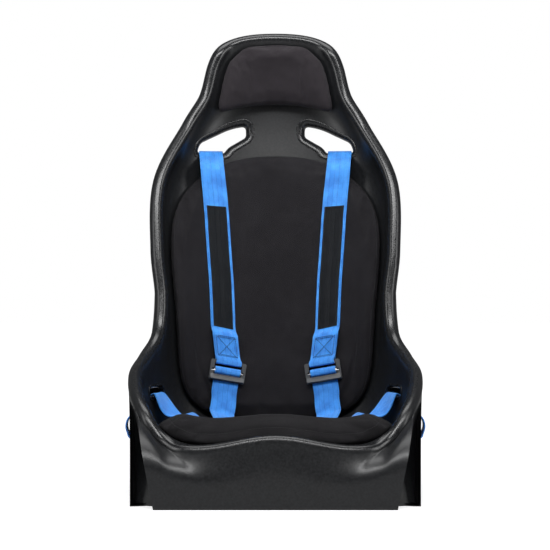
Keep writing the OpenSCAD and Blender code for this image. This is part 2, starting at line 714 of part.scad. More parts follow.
// An outline grown by a distance, counter-clockwise lists only
function grown(points, d) =
  let (m = len(points))
  [
    for (i = [0 : m - 1])
      let (t = unit(points[(i + 1) % m] - points[(i + m - 1) % m]))
      points[i] + d * [t[1], -t[0]]
  ];
function middle(points) =
  [for (k = [0, 1]) let (list = [for (p = points) p[k]]) (max(list) + min(list)) / 2];

// The hole for a slot's trim
module slot_hole(place, outline, lip) {
  n = len(outline);
  hole = grown(outline, lip);
  c = middle(outline);
  points = concat(
    [for (p = hole) place(p, skin + 1)],
    [for (p = hole) place(p, -skin - 6)],
    [place(c, skin + 1), place(c, -skin - 6)]
  );
  polyhedron(
    points = points,
    faces = concat(ring_faces(2, n), cap_faces(0, n, 2 * n, true), cap_faces(1, n, 2 * n + 1, false)),
    convexity = 4
  );
}

// The trim that rolls the tub's surface into a slot
module slot_trim(place, outline, lip, depth) {
  profile = [
    [lip + 3, gap], [lip + 2.4, 1.4], [lip, 1.7], [lip * 0.6, 0.6], [lip * 0.26, -depth * 0.2],
    [lip * 0.06, -depth * 0.55], [0, -depth], [2.2, -depth], [lip - 0.6, -skin - 1], [lip - 0.6, gap]
  ];
  n = len(outline);
  m = len(profile);
  rings = [for (q = profile) grown(outline, q[0])];
  points = [for (k = [0 : m - 1], p = rings[k]) place(p, profile[k][1])];
  faces = [
    for (k = [0 : m - 1], i = [0 : n - 1])
      let (a = k * n + i, b = k * n + (i + 1) % n, up = ((k + 1) % m - k) * n, c = b + up, d = a + up)
      each [[a, c, b], [a, d, c]]
  ];
  polyhedron(points = points, faces = faces, convexity = 6);
}

// --- Shell ----------------------------------------------------------------

module seat_shell() {
  cols = side_steps + 1;
  grid = [for (i = [0 : pan_steps], j = [0 : side_steps]) [last * i / pan_steps, 2 * j / side_steps - 1]];
  face_points = [for (g = grid) tub(g[0], g[1])];
  rear_points = [for (k = [0 : len(grid) - 1]) face_points[k] - skin * tub_normal(grid[k][0], grid[k][1])];
  ribs = [for (i = [0 : loop_n - 1]) rib(i)];
  rows = len(ribs[0][0]);
  grid_n = len(grid);
  outer = [for (k = [0 : rows - 1], r = ribs) r[0][k]];
  inner = [for (k = [0 : rows - 1], r = ribs) r[1][k]];
  // index of a rim loop point in the tub's grid
  edge_index = [
    for (i = [0 : side_steps - 1]) i,
    for (i = [0 : pan_steps - 1]) i * cols + side_steps,
    for (i = [0 : side_steps - 1]) pan_steps * cols + side_steps - i,
    for (i = [0 : pan_steps - 1]) (pan_steps - i) * cols
  ];
  function ring(k, i, side) =
    k == 0 ? side * grid_n + edge_index[i % loop_n]
           : 2 * grid_n + side * rows * loop_n + (k - 1) * loop_n + i % loop_n;
  function quad(a, b, c, d, turn) = turn ? [[a, c, b], [a, d, c]] : [[a, b, c], [a, c, d]];
  faces = concat(
    [for (side = [0, 1], i = [0 : pan_steps - 1], j = [0 : side_steps - 1])
      let (a = side * grid_n + i * cols + j)
      each quad(a, a + 1, a + cols + 1, a + cols, side == 0)],
    [for (side = [0, 1], k = [0 : rows - 1], i = [0 : loop_n - 1])
      let (j = i + 1)
      each quad(ring(k, i, side), ring(k + 1, i, side), ring(k + 1, j, side), ring(k, j, side), side == 0)],
    [for (i = [0 : loop_n - 1])
      each quad(ring(rows, i, 0), ring(rows, i, 1), ring(rows, i + 1, 1), ring(rows, i + 1, 0), true)]
  );
  color("dimgray") difference() {
    polyhedron(points = concat(face_points, rear_points, outer, inner), faces = faces, convexity = 12);
    for (side = ["left", "right"]) both(side) {
      slot_hole(on_shoulder, shoulder_slot, lip_in);
      slot_hole(on_hip, hip_slot, hip_lip);
      at_flank(lap_y, flank_slot_z) rounded_slot(web_w + 8, flank_slot_h, 20);
      at_flank(lap_y, lap_anchor_z + tab_bolt) bore(bolt_hole / 2, 40);
      at_anchor() translate([tab_bolt, 0, 0]) bore(bolt_hole / 2, 40);
      for (y = bolt_rows) {
        at_flank(y, side_bolt_z) bore(bush_r + bush_play, 40);
        translate([base_bolt_x, y, 0]) cylinder(h = 30, r = bolt_hole / 2, center = true, $fn = 48);
      }
    }
  }
}
module shoulder_trim(side) {
  color("black") both(side) slot_trim(on_shoulder, shoulder_slot, lip_in, trim_depth);
}
module hip_trim(side) {
  color("black") both(side) slot_trim(on_hip, hip_slot, hip_lip, hip_trim_depth);
}

// --- Pads and their tapes -------------------------------------------------

module headrest_pad() {
  color("dimgray") padded(on_shoulder, head_outline, head_mid, function(p) head_pad_t);
}
module back_pad() {
  color("darkslategray") padded(on_shoulder, back_outline, back_mid, function(p) back_pad_t);
}
module seat_cushion() {
  color("darkslategray") padded(
    function(p, rise) on_pan(p[0], p[1], rise), cushion_outline, cushion_mid,
    function(p) cushion_t + bolster_h * (1 - ease(bolster[0], bolster[1], p[1]))
  );
}
// Hook-and-loop tapes behind the pads, on facets of the tub
module headrest_tape() {
  color("black") facet_patch(38, 41, 7, 17, 0, tape_t);
}
module back_tape_upper() {
  color("black") facet_patch(27, 29, 6, 18, 0, tape_t);
}
module back_tape_lower() {
  color("black") facet_patch(19, 21, 6, 18, 0, pressed);
}
module cushion_tape() {
  color("black") facet_patch(4, 10, 9, 15, 0, pressed);
}

// --- Harness --------------------------------------------------------------

module shoulder_strap(side) {
  color("dodgerblue") both(side) ribbon(upper_route, web_w, web_t);
}
module strap_patch(side) {
  color("black") both(side)
    ribbon(upper_route, patch_w, patch_t, -(web_t + patch_t) / 2 - 0.25, patch_from, patch_to);
}
module lower_strap(side) {
  color("dodgerblue") both(side) ribbon(lower_route, web_w, web_t);
}
module lap_strap(side) {
  color("dodgerblue") both(side) ribbon(lap_route, web_w, web_t);
}

// Adjuster frame with its sewn bar, its open window and its lower bar, which
// has a bevelled nose. Its side rails are slotted for the lock bar's ends.
module adjuster(side) {
  face = -adjuster_t;
  nose = [
    [0, lower_bar_top], [face, lower_bar_top], [face - nose_out + 0.2, lower_bar_top - 8.6],
    [face - nose_out, lower_bar_top - 9.4], [face - nose_out + 0.5, lower_bar_top - 10.3], [0, lower_bar_low]
  ];
  color("gray") both(side) stand(adj_o, adj_x, adj_y, adj_z) {
    difference() {
      translate([0, 0, lower_bar_low + adjuster_h / 2]) rotate([90, 0, 0])
        linear_extrude(adjuster_t) plate_outline(adjuster_w, adjuster_h, 4);
      translate([-window_w / 2, face - 1, lower_bar_top])
        cube([window_w, adjuster_t + 2, upper_bar_low - lower_bar_top]);
      translate([-rail_slot_w / 2, face - 1, -bar_end_r - 0.1])
        cube([rail_slot_w, adjuster_t + 2, 2 * bar_end_r + 0.2 + lock_travel]);
    }
    rotate([90, 0, 90]) linear_extrude(adjuster_w - 4, center = true) polygon(nose);
  }
}
// Lock bar with a ribbed grip, sliding in the rails of its frame
module lock_bar(side) {
  ribs = 5;
  pitch = window_w / (2 * ribs + 1);
  color("silver") both(side) stand(adj_o + bar_y * adj_y, adj_x, adj_y, adj_z) rotate([0, 90, 0]) {
    cylinder(h = rail_slot_w - 0.6, r = bar_end_r, center = true, $fn = 24);
    cylinder(h = window_w - 1, r = bar_r - 0.3, center = true, $fn = 32);
    for (k = [-ribs : ribs])
      translate([0, 0, k * pitch]) cylinder(h = pitch / 2, r = bar_r, center = true, $fn = 32);
  }
}

// A steel anchor tab with a bar for the webbing, drawn with its back on the
// plane z = 0 and the webbing's side along +x
module anchor_tab() {
  difference() {
    translate([tab_bar_low + tab_bar_h - tab_h / 2, 0, spacer_t])
      linear_extrude(tab_t) plate_outline(tab_h, web_w + 12, 4);
    translate([tab_bar_low - tab_window, -web_w / 2 - 2, 0]) cube([tab_window, web_w + 4, 20]);
    translate([tab_bolt, 0, 0]) bore(bolt_hole / 2, 40);
  }
}
// Its M8 bolt with a spacer, a hexagonal head and a nut behind the wall
module anchor_bolt(nut_h, round_nut) {
  nut_r = round_nut ? 10 : 7.5;
  nut_fn = round_nut ? 36 : 6;
  translate([tab_bolt, 0, 0]) {
    difference() {
      translate([0, 0, gap]) cylinder(h = spacer_t - gap, r = 9, $fn = 36);
      bore(bolt_r, 60);
    }
    translate([0, 0, -skin - nut_h]) cylinder(h = skin + nut_h + spacer_t + tab_t, r = bolt_r, $fn = 36);
    translate([0, 0, spacer_t + tab_t]) cylinder(h = 5.3, r = 7.5, $fn = 6);
    translate([0, 0, -skin - gap - nut_h]) difference() {
      cylinder(h = nut_h, r = nut_r, $fn = nut_fn);
      bore(bolt_r, 60);
    }
  }
}
module shoulder_anchor(side) {
  color("silver") both(side) at_anchor() {
    anchor_tab();
    anchor_bolt(tape_t - 0.5, true);
  }
}
module lap_anchor(side) {
  color("silver") both(side) at_flank(lap_y, lap_anchor_z) rotate([0, 0, 180]) {
    anchor_tab();
    anchor_bolt(6, false);
  }
}

// --- Mounting -------------------------------------------------------------

// Steel rail inside the base: it takes the bolts from below and from the side
module base_rail(side) {
  upright_x = base_w / 2 - rail_in;
  foot_x = base_w / 2 - foot_w + 1;
  front = bolt_rows[0] - rail_end;
  long = bolt_pitch + 2 * rail_end;
  color("gray") both(side) difference() {
    union() {
      translate([upright_x - rail_t, front, skin]) cube([rail_t, long, rail_top - skin]);
      translate([foot_x, front, skin]) cube([upright_x - foot_x, long, rail_t]);
    }
    for (y = bolt_rows) {
      translate([base_bolt_x, y, skin]) bore(bolt_hole / 2, 30);
      translate([upright_x, y, side_bolt_z]) rotate([0, 90, 0]) bore(bush_r + bush_play, 30);
    }
  }
}
// Flanged bushes for side mounting, through the flank and the rail
module side_bush(side) {
  long = rail_in + rail_t + 3;
  color("silver") both(side) for (y = bolt_rows) at_flank(y, side_bolt_z) difference() {
    union() {
      translate([0, 0, -long]) cylinder(h = long, r = bush_r, $fn = 48);
      cylinder(h = 2.5, r = bush_r + bush_flange, $fn = 48);
    }
    bore(bolt_hole / 2, 60);
  }
}

seat_shell();
headrest_pad();
headrest_tape();
back_pad();
back_tape_upper();
back_tape_lower();
seat_cushion();
cushion_tape();
shoulder_trim("left");  // shoulder_trim_left
shoulder_trim("right");  // shoulder_trim_right
hip_trim("left");  // hip_trim_left
hip_trim("right");  // hip_trim_right
shoulder_strap("left");  // shoulder_strap_left
shoulder_strap("right");  // shoulder_strap_right
strap_patch("left");  // strap_patch_left
strap_patch("right");  // strap_patch_right
adjuster("left");  // adjuster_left
adjuster("right");  // adjuster_right
lock_bar("left");  // lock_bar_left
lock_bar("right");  // lock_bar_right
lower_strap("left");  // lower_strap_left
lower_strap("right");  // lower_strap_right
lap_strap("left");  // lap_strap_left
lap_strap("right");  // lap_strap_right
shoulder_anchor("left");  // shoulder_anchor_left
shoulder_anchor("right");  // shoulder_anchor_right
lap_anchor("left");  // lap_anchor_left
lap_anchor("right");  // lap_anchor_right
base_rail("left");  // base_rail_left
base_rail("right");  // base_rail_right
side_bush("left");  // side_bush_left
side_bush("right");  // side_bush_right
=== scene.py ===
# %% [markdown]
# # A moulded racing bucket seat
#
# This notebook dresses a finished CAD model of a bucket seat: one moulded tub
# with a rolled rim, three pads of stretch fabric over foam, and a harness of
# ribbed webbing. The CAD says where everything is. Blender says how it looks.
#
# The first step is to load that model as a fixed frame. Nothing in it is ever
# moved. A new piece is either laid over a CAD solid or takes its place, and it
# keeps the size of the solid that it stands for.

import math

import bmesh
import bpy
import numpy as np
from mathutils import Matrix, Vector
from mathutils.bvhtree import BVHTree
from mathutils.kdtree import KDTree


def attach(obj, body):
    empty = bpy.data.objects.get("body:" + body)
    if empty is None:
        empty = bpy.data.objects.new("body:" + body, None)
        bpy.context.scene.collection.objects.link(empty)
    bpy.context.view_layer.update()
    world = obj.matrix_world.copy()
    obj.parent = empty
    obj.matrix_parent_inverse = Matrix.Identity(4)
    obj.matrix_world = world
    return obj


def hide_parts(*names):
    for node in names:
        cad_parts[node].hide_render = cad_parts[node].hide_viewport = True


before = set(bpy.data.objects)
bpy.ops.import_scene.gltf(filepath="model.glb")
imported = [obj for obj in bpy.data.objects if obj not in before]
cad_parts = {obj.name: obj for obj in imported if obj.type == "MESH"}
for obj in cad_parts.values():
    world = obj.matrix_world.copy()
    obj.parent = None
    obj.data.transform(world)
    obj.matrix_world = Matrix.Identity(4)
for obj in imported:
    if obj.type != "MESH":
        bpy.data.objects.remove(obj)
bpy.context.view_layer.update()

# %% [markdown]
# ## Where the viewer stands
#
# The seat is seen straight from the front, from about four metres, at a little
# under half its height. A long lens keeps the wings and the head in honest
# proportion. A camera that is level needs no tilt, so upright lines stay upright.

# %% Camera
PICTURE = 550                      # the picture is square, this many pixels wide
FOCUS = 2143                       # focal length in those pixels
VIEW_FROM = (-0.0007, -3.975, 0.407)   # metres: straight in front of the seat
camera_data = bpy.data.cameras.new("front_camera")
camera_data.sensor_width = 36
camera_data.lens = FOCUS / PICTURE * camera_data.sensor_width
camera = bpy.data.objects.new("front_camera", camera_data)
camera.location = VIEW_FROM
camera.rotation_euler = (math.radians(90), 0, 0)
bpy.context.scene.collection.objects.link(camera)
bpy.context.scene.camera = camera
print("lens", round(camera_data.lens, 1), "mm, one pixel covers",
      round(-1000 * VIEW_FROM[1] / FOCUS, 2), "mm")

# %% [markdown]
# ## The tub as a formula
#
# The real tub is moulded in one piece, and no part of it is flat for long. A
# modeller could draw it as a cage of control points and subdivide it, but
# the pads, the straps and the slots all have to lie on it, so a formula is
# handier: give it a station from the front lip to the crown, and a share from
# the left rim to the right one, and it gives back the point and the direction
# that faces the driver. The stations are those of the CAD, in millimetres.

# %% The sections, and the surface through them
MM = 0.001
SKIN = 5.0                         # thickness of the moulded wall
RIM_R = 13.0                       # outer radius of the rolled rim
DIP = 17.0                         # depth of the two thigh dips in the front lip
DIP_HALF_W, DIP_END = 274, 1.3     # how far out the dips reach, and the station where they end
# middle line y, z; rim x, y, z; bulge across the floor, up the wall, and in height
SECTIONS = np.array([
    [-241, 128, 188, -219, 126, 0.50, 0.86, 0.20],
    [-153, 92, 229, -151, 176, 0.80, 0.99, 0.15],
    [-35, 60, 243, -57, 220, 0.80, 1.04, 0.20],
    [87, 48, 230, 19, 250, 0.80, 1.04, 0.25],
    [177, 120, 209, 75, 292, 0.75, 1.00, 0.30],
    [211, 260, 204, 109, 366, 0.70, 1.00, 0.35],
    [240, 400, 214, 137, 458, 0.68, 1.00, 0.38],
    [277, 570, 212, 183, 585, 0.62, 0.98, 0.40],
    [305, 700, 163, 237, 690, 0.55, 0.90, 0.40],
    [312, 762, 129, 259, 752, 0.50, 0.85, 0.40],
    [310, 825, 113, 273, 816, 0.50, 0.85, 0.40],
    [298, 873, 98, 281, 847, 0.50, 0.84, 0.15],
], float)
CROWN = len(SECTIONS) - 1
PAN_STEPS, SIDE_STEPS = 44, 24     # facets of the CAD tub, lip to crown and side to side
STEP = CROWN / PAN_STEPS
NEAR_END = 0.12                    # stations from either end where the surface's direction is frozen
NEAR_RIM = 0.96                    # share of the width where it is frozen too, and where pads and straps stop
HALVINGS = 22                      # enough to place a strap to a thousandth of a millimetre


def arr(x):
    return np.atleast_1d(np.asarray(x, float))


def unit(a):
    return a / np.maximum(np.linalg.norm(a, axis=-1, keepdims=True), 1e-12)


def ease(a, b, x):
    t = np.clip((x - a) / (b - a), 0, 1)
    return t * t * (3 - 2 * t)


def spline(a, b, c, d, t):
    """A smooth curve from b to c, whose slopes there come from the neighbours a and d."""
    return 0.5 * (2 * b + (c - a) * t + (2 * a - 5 * b + 4 * c - d) * t**2 + (3 * b - a - 3 * c + d) * t**3)


def station(u):
    """The row of SECTIONS at any station, between the listed ones too."""
    u = arr(u)
    i = np.clip(np.floor(u).astype(int), 0, CROWN - 1)
    t = (u - i)[..., None]
    b, c = SECTIONS[i], SECTIONS[i + 1]
    a = np.where((i > 0)[..., None], SECTIONS[np.maximum(i - 1, 0)], 2 * b - c)
    d = np.where((i + 2 <= CROWN)[..., None], SECTIONS[np.minimum(i + 2, CROWN)], 2 * c - b)
    return spline(a, b, c, d, t)


def tub(u, v):
    """Points of the tub: u runs from lip to crown, v from the left rim at -1 to the right at 1."""
    u, v = np.broadcast_arrays(arr(u), arr(v))
    s, a = station(u), np.abs(v)
    rise = 3 * a * a * (1 - a) * s[..., 7] + a**3
    x = s[..., 2] * (3 * a * (1 - a) ** 2 * s[..., 5] + 3 * a * a * (1 - a) * s[..., 6] + a**3)
    dip = DIP * np.sin(np.pi * np.minimum(x / DIP_HALF_W, 1)) ** 2 * (1 - ease(0, DIP_END, u))
    y = s[..., 0] + (s[..., 3] - s[..., 0]) * rise
    z = s[..., 1] + (s[..., 4] - s[..., 1]) * rise - dip
    return np.stack([x * np.sign(v), y, z], -1)


def tub_normal(u, v):
    """The direction that faces the driver."""
    a = np.clip(u, NEAR_END, CROWN - NEAR_END)
    b = np.clip(v, -NEAR_RIM, NEAR_RIM)
    return unit(np.cross(tub(a, b + 0.01) - tub(a, b - 0.01), tub(a + 0.02, b) - tub(a - 0.02, b)))


print("tub, middle of the back:", tub(6, 0)[0].round(1), "faces", tub_normal(6, 0)[0].round(2))

# %% [markdown]
# ## Finding a place on the tub
#
# Pads and straps are laid out in plain words: so far up the back, so far to
# the side. These helpers turn such words into stations by halving an interval
# until the height or the width fits. Straps are laid on the facets of the CAD
# tub, so that they meet the metal parts that the CAD has placed there.

# %% Places on the tub
FACETS = np.array([
    tub(CROWN * i / PAN_STEPS, 2 * np.arange(SIDE_STEPS + 1) / SIDE_STEPS - 1)
    for i in range(PAN_STEPS + 1)
])


def on_facet(u, v):
    """The same place on the flat triangles of the CAD tub."""
    u, v = np.broadcast_arrays(arr(u), arr(v))
    r = np.clip(u, 0, CROWN - 0.001) / STEP
    c = (np.clip(v, -1, 0.9999) + 1) * SIDE_STEPS / 2
    i, j = np.floor(r).astype(int), np.floor(c).astype(int)
    a, b = (r - i)[..., None], (c - j)[..., None]
    p, q = FACETS[i, j], FACETS[i + 1, j + 1]
    right, up = FACETS[i, j + 1], FACETS[i + 1, j]
    return np.where(b >= a, p + b * (right - p) + a * (q - right), p + a * (up - p) + b * (q - up))


def find_u(column, target, low, high):
    low, high = np.full_like(arr(target), low), np.full_like(arr(target), high)
    for _ in range(HALVINGS):
        mid = (low + high) / 2
        less = station(mid)[..., column] < target
        low, high = np.where(less, mid, low), np.where(less, high, mid)
    return (low + high) / 2


def back_u(height):
    return find_u(1, height, 3, CROWN)


def pan_u(depth):
    return find_u(0, depth, 0, 4)


def find_v(u, axis, target, rise=0.0, low=0.02, high=NEAR_RIM):
    u, target = np.broadcast_arrays(arr(u), arr(target))
    low, high = np.full(u.shape, low), np.full(u.shape, high)
    for _ in range(HALVINGS):
        mid = (low + high) / 2
        less = (tub(u, mid) + rise * tub_normal(u, mid))[..., axis] < target
        low, high = np.where(less, mid, low), np.where(less, high, mid)
    return (low + high) / 2


def v_at(u, s):
    """The share of the width at a distance s from the middle, along the section."""
    u, s = np.broadcast_arrays(arr(u), arr(s))
    k = np.linspace(0, 1, 11)
    p = tub(u.ravel()[:, None], k[None, :])
    steps = np.linalg.norm(np.diff(p, axis=1), axis=2)
    walked = np.concatenate([np.zeros((len(p), 1)), np.cumsum(steps, 1)], 1)
    v = np.array([np.interp(a, row, k) for a, row in zip(np.abs(s).ravel(), walked)])
    return (np.sign(s).ravel() * np.minimum(v, NEAR_RIM)).reshape(s.shape)


def raised(u, v, rise, facets):
    """A point at a height over the tub, or over its facets."""
    return (on_facet(u, v) if facets else tub(u, v)) + np.asarray(rise, float)[..., None] * tub_normal(u, v)


def lay(u, s, rise, facets=False):
    return raised(u, v_at(u, s), rise, facets)


def on_back(s, height, rise, facets=False):
    s, height, rise = np.broadcast_arrays(arr(s), arr(height), arr(rise))
    return lay(back_u(height), s, rise, facets)


def on_pan(s, depth, rise, facets=False):
    s, depth, rise = np.broadcast_arrays(arr(s), arr(depth), arr(rise))
    return lay(pan_u(depth), s, rise, facets)


print("a strap's place, 470 up the back and 110 out:", on_back(110, 470, 0)[0].round(1))

# %% [markdown]
# ## Finishes
#
# A finish has three scales. From across the room it is a colour and a gloss.
# At arm's length it is a pattern: the pebble of moulded plastic, the ribs of
# webbing, the loops of a knit. Close to, it is where hands and heels have been.
# The patterns that several finishes share are shader node groups. Each takes
# named sizes and gives back a height and a tone, and the material adds its own
# values. Painting image textures would be quicker, but they blur close to and
# need every piece unwrapped.

# %% Small helpers for building shader nodes
class Graph:
    """Adds nodes to one tree, wiring or setting their inputs by name or number."""

    def __init__(self, tree):
        self.tree = tree

    def add(self, kind, inputs=None, **settings):
        made = self.tree.nodes.new(kind)
        made.location = (180 * (len(self.tree.nodes) % 9), -220 * (len(self.tree.nodes) // 9))
        for key, value in settings.items():
            setattr(made, key, value)
        for key, value in (inputs or {}).items():
            if isinstance(value, bpy.types.NodeSocket):
                self.tree.links.new(value, made.inputs[key])
            else:
                made.inputs[key].default_value = value
        return made

    def calc(self, operation, a, b=0.0, clamp=False):
        return self.add("ShaderNodeMath", {0: a, 1: b}, operation=operation, use_clamp=clamp).outputs[0]

    def blend(self, share, a, b):
        made = self.add("ShaderNodeMix", {0: share, 6: a, 7: b}, data_type="RGBA")
        return made.outputs[2]

    def span(self, value, low, high, to_low=0.0, to_high=1.0):
        made = self.add("ShaderNodeMapRange", {0: value, 1: low, 2: high, 3: to_low, 4: to_high})
        return made.outputs[0]


def shader_group(name, sockets_in, sockets_out):
    tree = bpy.data.node_groups.new(name, "ShaderNodeTree")
    kinds = {"float": "NodeSocketFloat", "vector": "NodeSocketVector", "color": "NodeSocketColor"}
    for title, kind, default in sockets_in:
        socket = tree.interface.new_socket(title, in_out="INPUT", socket_type=kinds[kind])
        if default is not None:
            socket.default_value = default
    for title, kind in sockets_out:
        tree.interface.new_socket(title, in_out="OUTPUT", socket_type=kinds[kind])
    graph = Graph(tree)
    return tree, graph, graph.add("NodeGroupInput").outputs, graph.add("NodeGroupOutput")


def use(graph, tree, inputs):
    """Puts a shared group into a material's tree."""
    return graph.add("ShaderNodeGroup", inputs, node_tree=tree).outputs


print("shader helpers ready")

# %% [markdown]
# ### Pebble grain
#
# Moulded plastic is rarely smooth: the mould is etched, so that scratches and
# sink marks don't show. Rounded cells of one size, with a little noise over
# them, read as that grain.

# %% Group: pebble grain
pebble, g, i, o = shader_group(
    "pebble_grain",
    [("Vector", "vector", None), ("Cell size", "float", 0.002), ("Roughening", "float", 0.5)],
    [("Height", "float"), ("Tone", "float")],
)
per_metre = g.calc("DIVIDE", 1.0, i["Cell size"])
cells = g.add("ShaderNodeTexVoronoi", {"Vector": i["Vector"], "Scale": per_metre}, feature="SMOOTH_F1")
cells.inputs["Smoothness"].default_value = 0.6
fine_scale = g.calc("MULTIPLY", per_metre, 0.45)
fine = g.add("ShaderNodeTexNoise", {"Vector": i["Vector"], "Scale": fine_scale, "Detail": 3.0})
rounded = g.calc("SUBTRACT", 1.0, cells.outputs["Distance"])
height = g.calc("ADD", rounded, g.calc("MULTIPLY", fine.outputs["Fac"], i["Roughening"]))
g.tree.links.new(height, o.inputs["Height"])
g.tree.links.new(g.span(fine.outputs["Fac"], 0.3, 0.7), o.inputs["Tone"])
print("group", pebble.name)

# %% [markdown]
# ### Knit
#
# The pads are covered in a stretch knit. Its loops stand in columns, so it is
# ribbed one way and stepped the other. Projecting the pattern along the three
# axes, and letting the surface's own direction choose between them, keeps the
# loops the same size all over a rounded pad without unwrapping it.

# %% Group: knit, projected from three sides
knit, g, i, o = shader_group(
    "stretch_knit",
    [("Vector", "vector", None), ("Direction", "vector", None), ("Pitch", "float", 0.0011)],
    [("Height", "float"), ("Tone", "float")],
)
axis = g.add("ShaderNodeSeparateXYZ", {0: i["Vector"]}).outputs
turns = g.calc("DIVIDE", 2 * math.pi, i["Pitch"])
waves = [g.calc("SINE", g.calc("MULTIPLY", a, turns)) for a in axis]
waves_fine = [g.calc("SINE", g.calc("MULTIPLY", g.calc("MULTIPLY", a, turns), 1.6)) for a in axis]
facing = g.add("ShaderNodeSeparateXYZ", {0: i["Direction"]}).outputs
weights = [g.calc("POWER", g.calc("ABSOLUTE", f), 4.0) for f in facing]
total = g.calc("ADD", g.calc("ADD", weights[0], weights[1]), weights[2])
planes = [g.calc("MULTIPLY", waves[a], waves_fine[b]) for a, b in ((1, 2), (0, 2), (0, 1))]
mixed = 0.0
for w, p in zip(weights, planes):
    mixed = g.calc("ADD", mixed, g.calc("MULTIPLY", w, p))
loops = g.calc("DIVIDE", mixed, total)
uneven = g.add("ShaderNodeTexNoise", {"Vector": i["Vector"], "Scale": 60.0, "Detail": 4.0})
g.tree.links.new(g.calc("ADD", loops, g.calc("MULTIPLY", uneven.outputs["Fac"], 0.8)), o.inputs["Height"])
g.tree.links.new(g.span(uneven.outputs["Fac"], 0.25, 0.75), o.inputs["Tone"])
print("group", knit.name)

# %% [markdown]
# ### Webbing
#
# Harness webbing is a thick narrow-loom tape. Its yarns run in a herringbone,
# in panels side by side, with a shallow groove between two panels and a tight
# selvedge at each edge. The straps carry their own coordinates, across and
# along in metres, so the yarns follow every bend.

# %% Group: herringbone webbing
herringbone, g, i, o = shader_group(
    "herringbone_webbing",
    [("Vector", "vector", None), ("Panel", "float", 0.0095), ("Yarn", "float", 0.0014),
     ("Half width", "float", 0.025)],
    [("Height", "float"), ("Tone", "float"), ("Groove", "float")],
)
axis = g.add("ShaderNodeSeparateXYZ", {0: i["Vector"]}).outputs
zigzag = g.calc("PINGPONG", g.calc("ADD", axis[0], i["Half width"]), i["Panel"])
slant = g.calc("ADD", g.calc("MULTIPLY", zigzag, 0.9), axis[1])
rows = g.calc("SINE", g.calc("DIVIDE", g.calc("MULTIPLY", slant, 2 * math.pi), i["Yarn"]))
warp_turns = g.calc("DIVIDE", g.calc("MULTIPLY", axis[0], 2 * math.pi), g.calc("MULTIPLY", i["Yarn"], 0.62))
warp = g.calc("SINE", warp_turns)
edge_of_panel = g.calc("MINIMUM", zigzag, g.calc("SUBTRACT", i["Panel"], zigzag))
groove = g.span(edge_of_panel, 0.0, 0.0011, 1.0, 0.0)
height = g.calc("ADD", g.calc("MULTIPLY", rows, 0.6), g.calc("MULTIPLY", warp, 0.35))
height = g.calc("SUBTRACT", height, g.calc("MULTIPLY", groove, 1.6))
shade = g.add("ShaderNodeTexNoise", {"Vector": i["Vector"], "Scale": 45.0, "Detail": 3.0})
# The tone is lighter on the raised rows of yarn, a painted highlight on their ridges, with a random
# unevenness over it.
tone = g.calc("ADD", g.calc("MULTIPLY", rows, 0.16), g.span(shade.outputs["Fac"], 0.3, 0.7, 0.3, 0.75))
g.tree.links.new(height, o.inputs["Height"])
g.tree.links.new(g.calc("MAXIMUM", tone, 0.0), o.inputs["Tone"])
g.tree.links.new(groove, o.inputs["Groove"])
print("group", herringbone.name)

# %% [markdown]
# ### Use
#
# Handling polishes the places that stick out, and dust settles where nothing
# rubs. One group turns a mask into broken, uneven patches, so that no wear
# ends in a hard line.

# %% Group: uneven patches of wear or dust
patches, g, i, o = shader_group(
    "uneven_patches",
    [("Vector", "vector", None), ("Where", "float", 1.0), ("Patch size", "float", 0.05),
     ("Amount", "float", 0.5)],
    [("Mask", "float")],
)
per_patch = g.calc("DIVIDE", 1.0, i["Patch size"])
clouds = g.add("ShaderNodeTexNoise", {"Vector": i["Vector"], "Scale": per_patch, "Detail": 6.0})
clouds.inputs["Roughness"].default_value = 0.65
cut = g.calc("MULTIPLY", g.calc("SUBTRACT", 1.0, i["Amount"]), 0.7)
above = g.calc("DIVIDE", g.calc("SUBTRACT", clouds.outputs["Fac"], cut), 0.3, clamp=True)
g.tree.links.new(g.calc("MULTIPLY", above, i["Where"]), o.inputs["Mask"])
print("group", patches.name)

# %% [markdown]
# ### The finishes themselves
#
# Each finish is one Principled shader. Its colour, roughness and bump come from
# the groups. Values that are the same all over stay on the shader's own sockets.

# %% A material with its shader and the usual coordinates
def finish(name, color, roughness, **sockets):
    made = bpy.data.materials.new(name)
    made.use_nodes = True
    graph = Graph(made.node_tree)
    shader = made.node_tree.nodes["Principled BSDF"]
    shader.inputs["Base Color"].default_value = (*color, 1)
    shader.inputs["Roughness"].default_value = roughness
    for key, value in sockets.items():
        shader.inputs[key.replace("_", " ")].default_value = value
    where = graph.add("ShaderNodeTexCoord").outputs
    made.diffuse_color = (*color, 1)
    return made, graph, shader, where


def bump(graph, shader, height, distance):
    made = graph.add("ShaderNodeBump", {"Height": height, "Distance": distance, "Strength": 1.0})
    graph.tree.links.new(made.outputs[0], shader.inputs["Normal"])


def tint(graph, shader, share, dark, light):
    graph.tree.links.new(graph.blend(share, (*dark, 1), (*light, 1)), shader.inputs["Base Color"])


# %% Moulded black plastic, for the shell and its slot edges
PLASTIC = (0.0105, 0.0111, 0.0122)
PLASTIC_DARK, PLASTIC_LIGHT = (0.0055, 0.0058, 0.0065), (0.0128, 0.0135, 0.015)


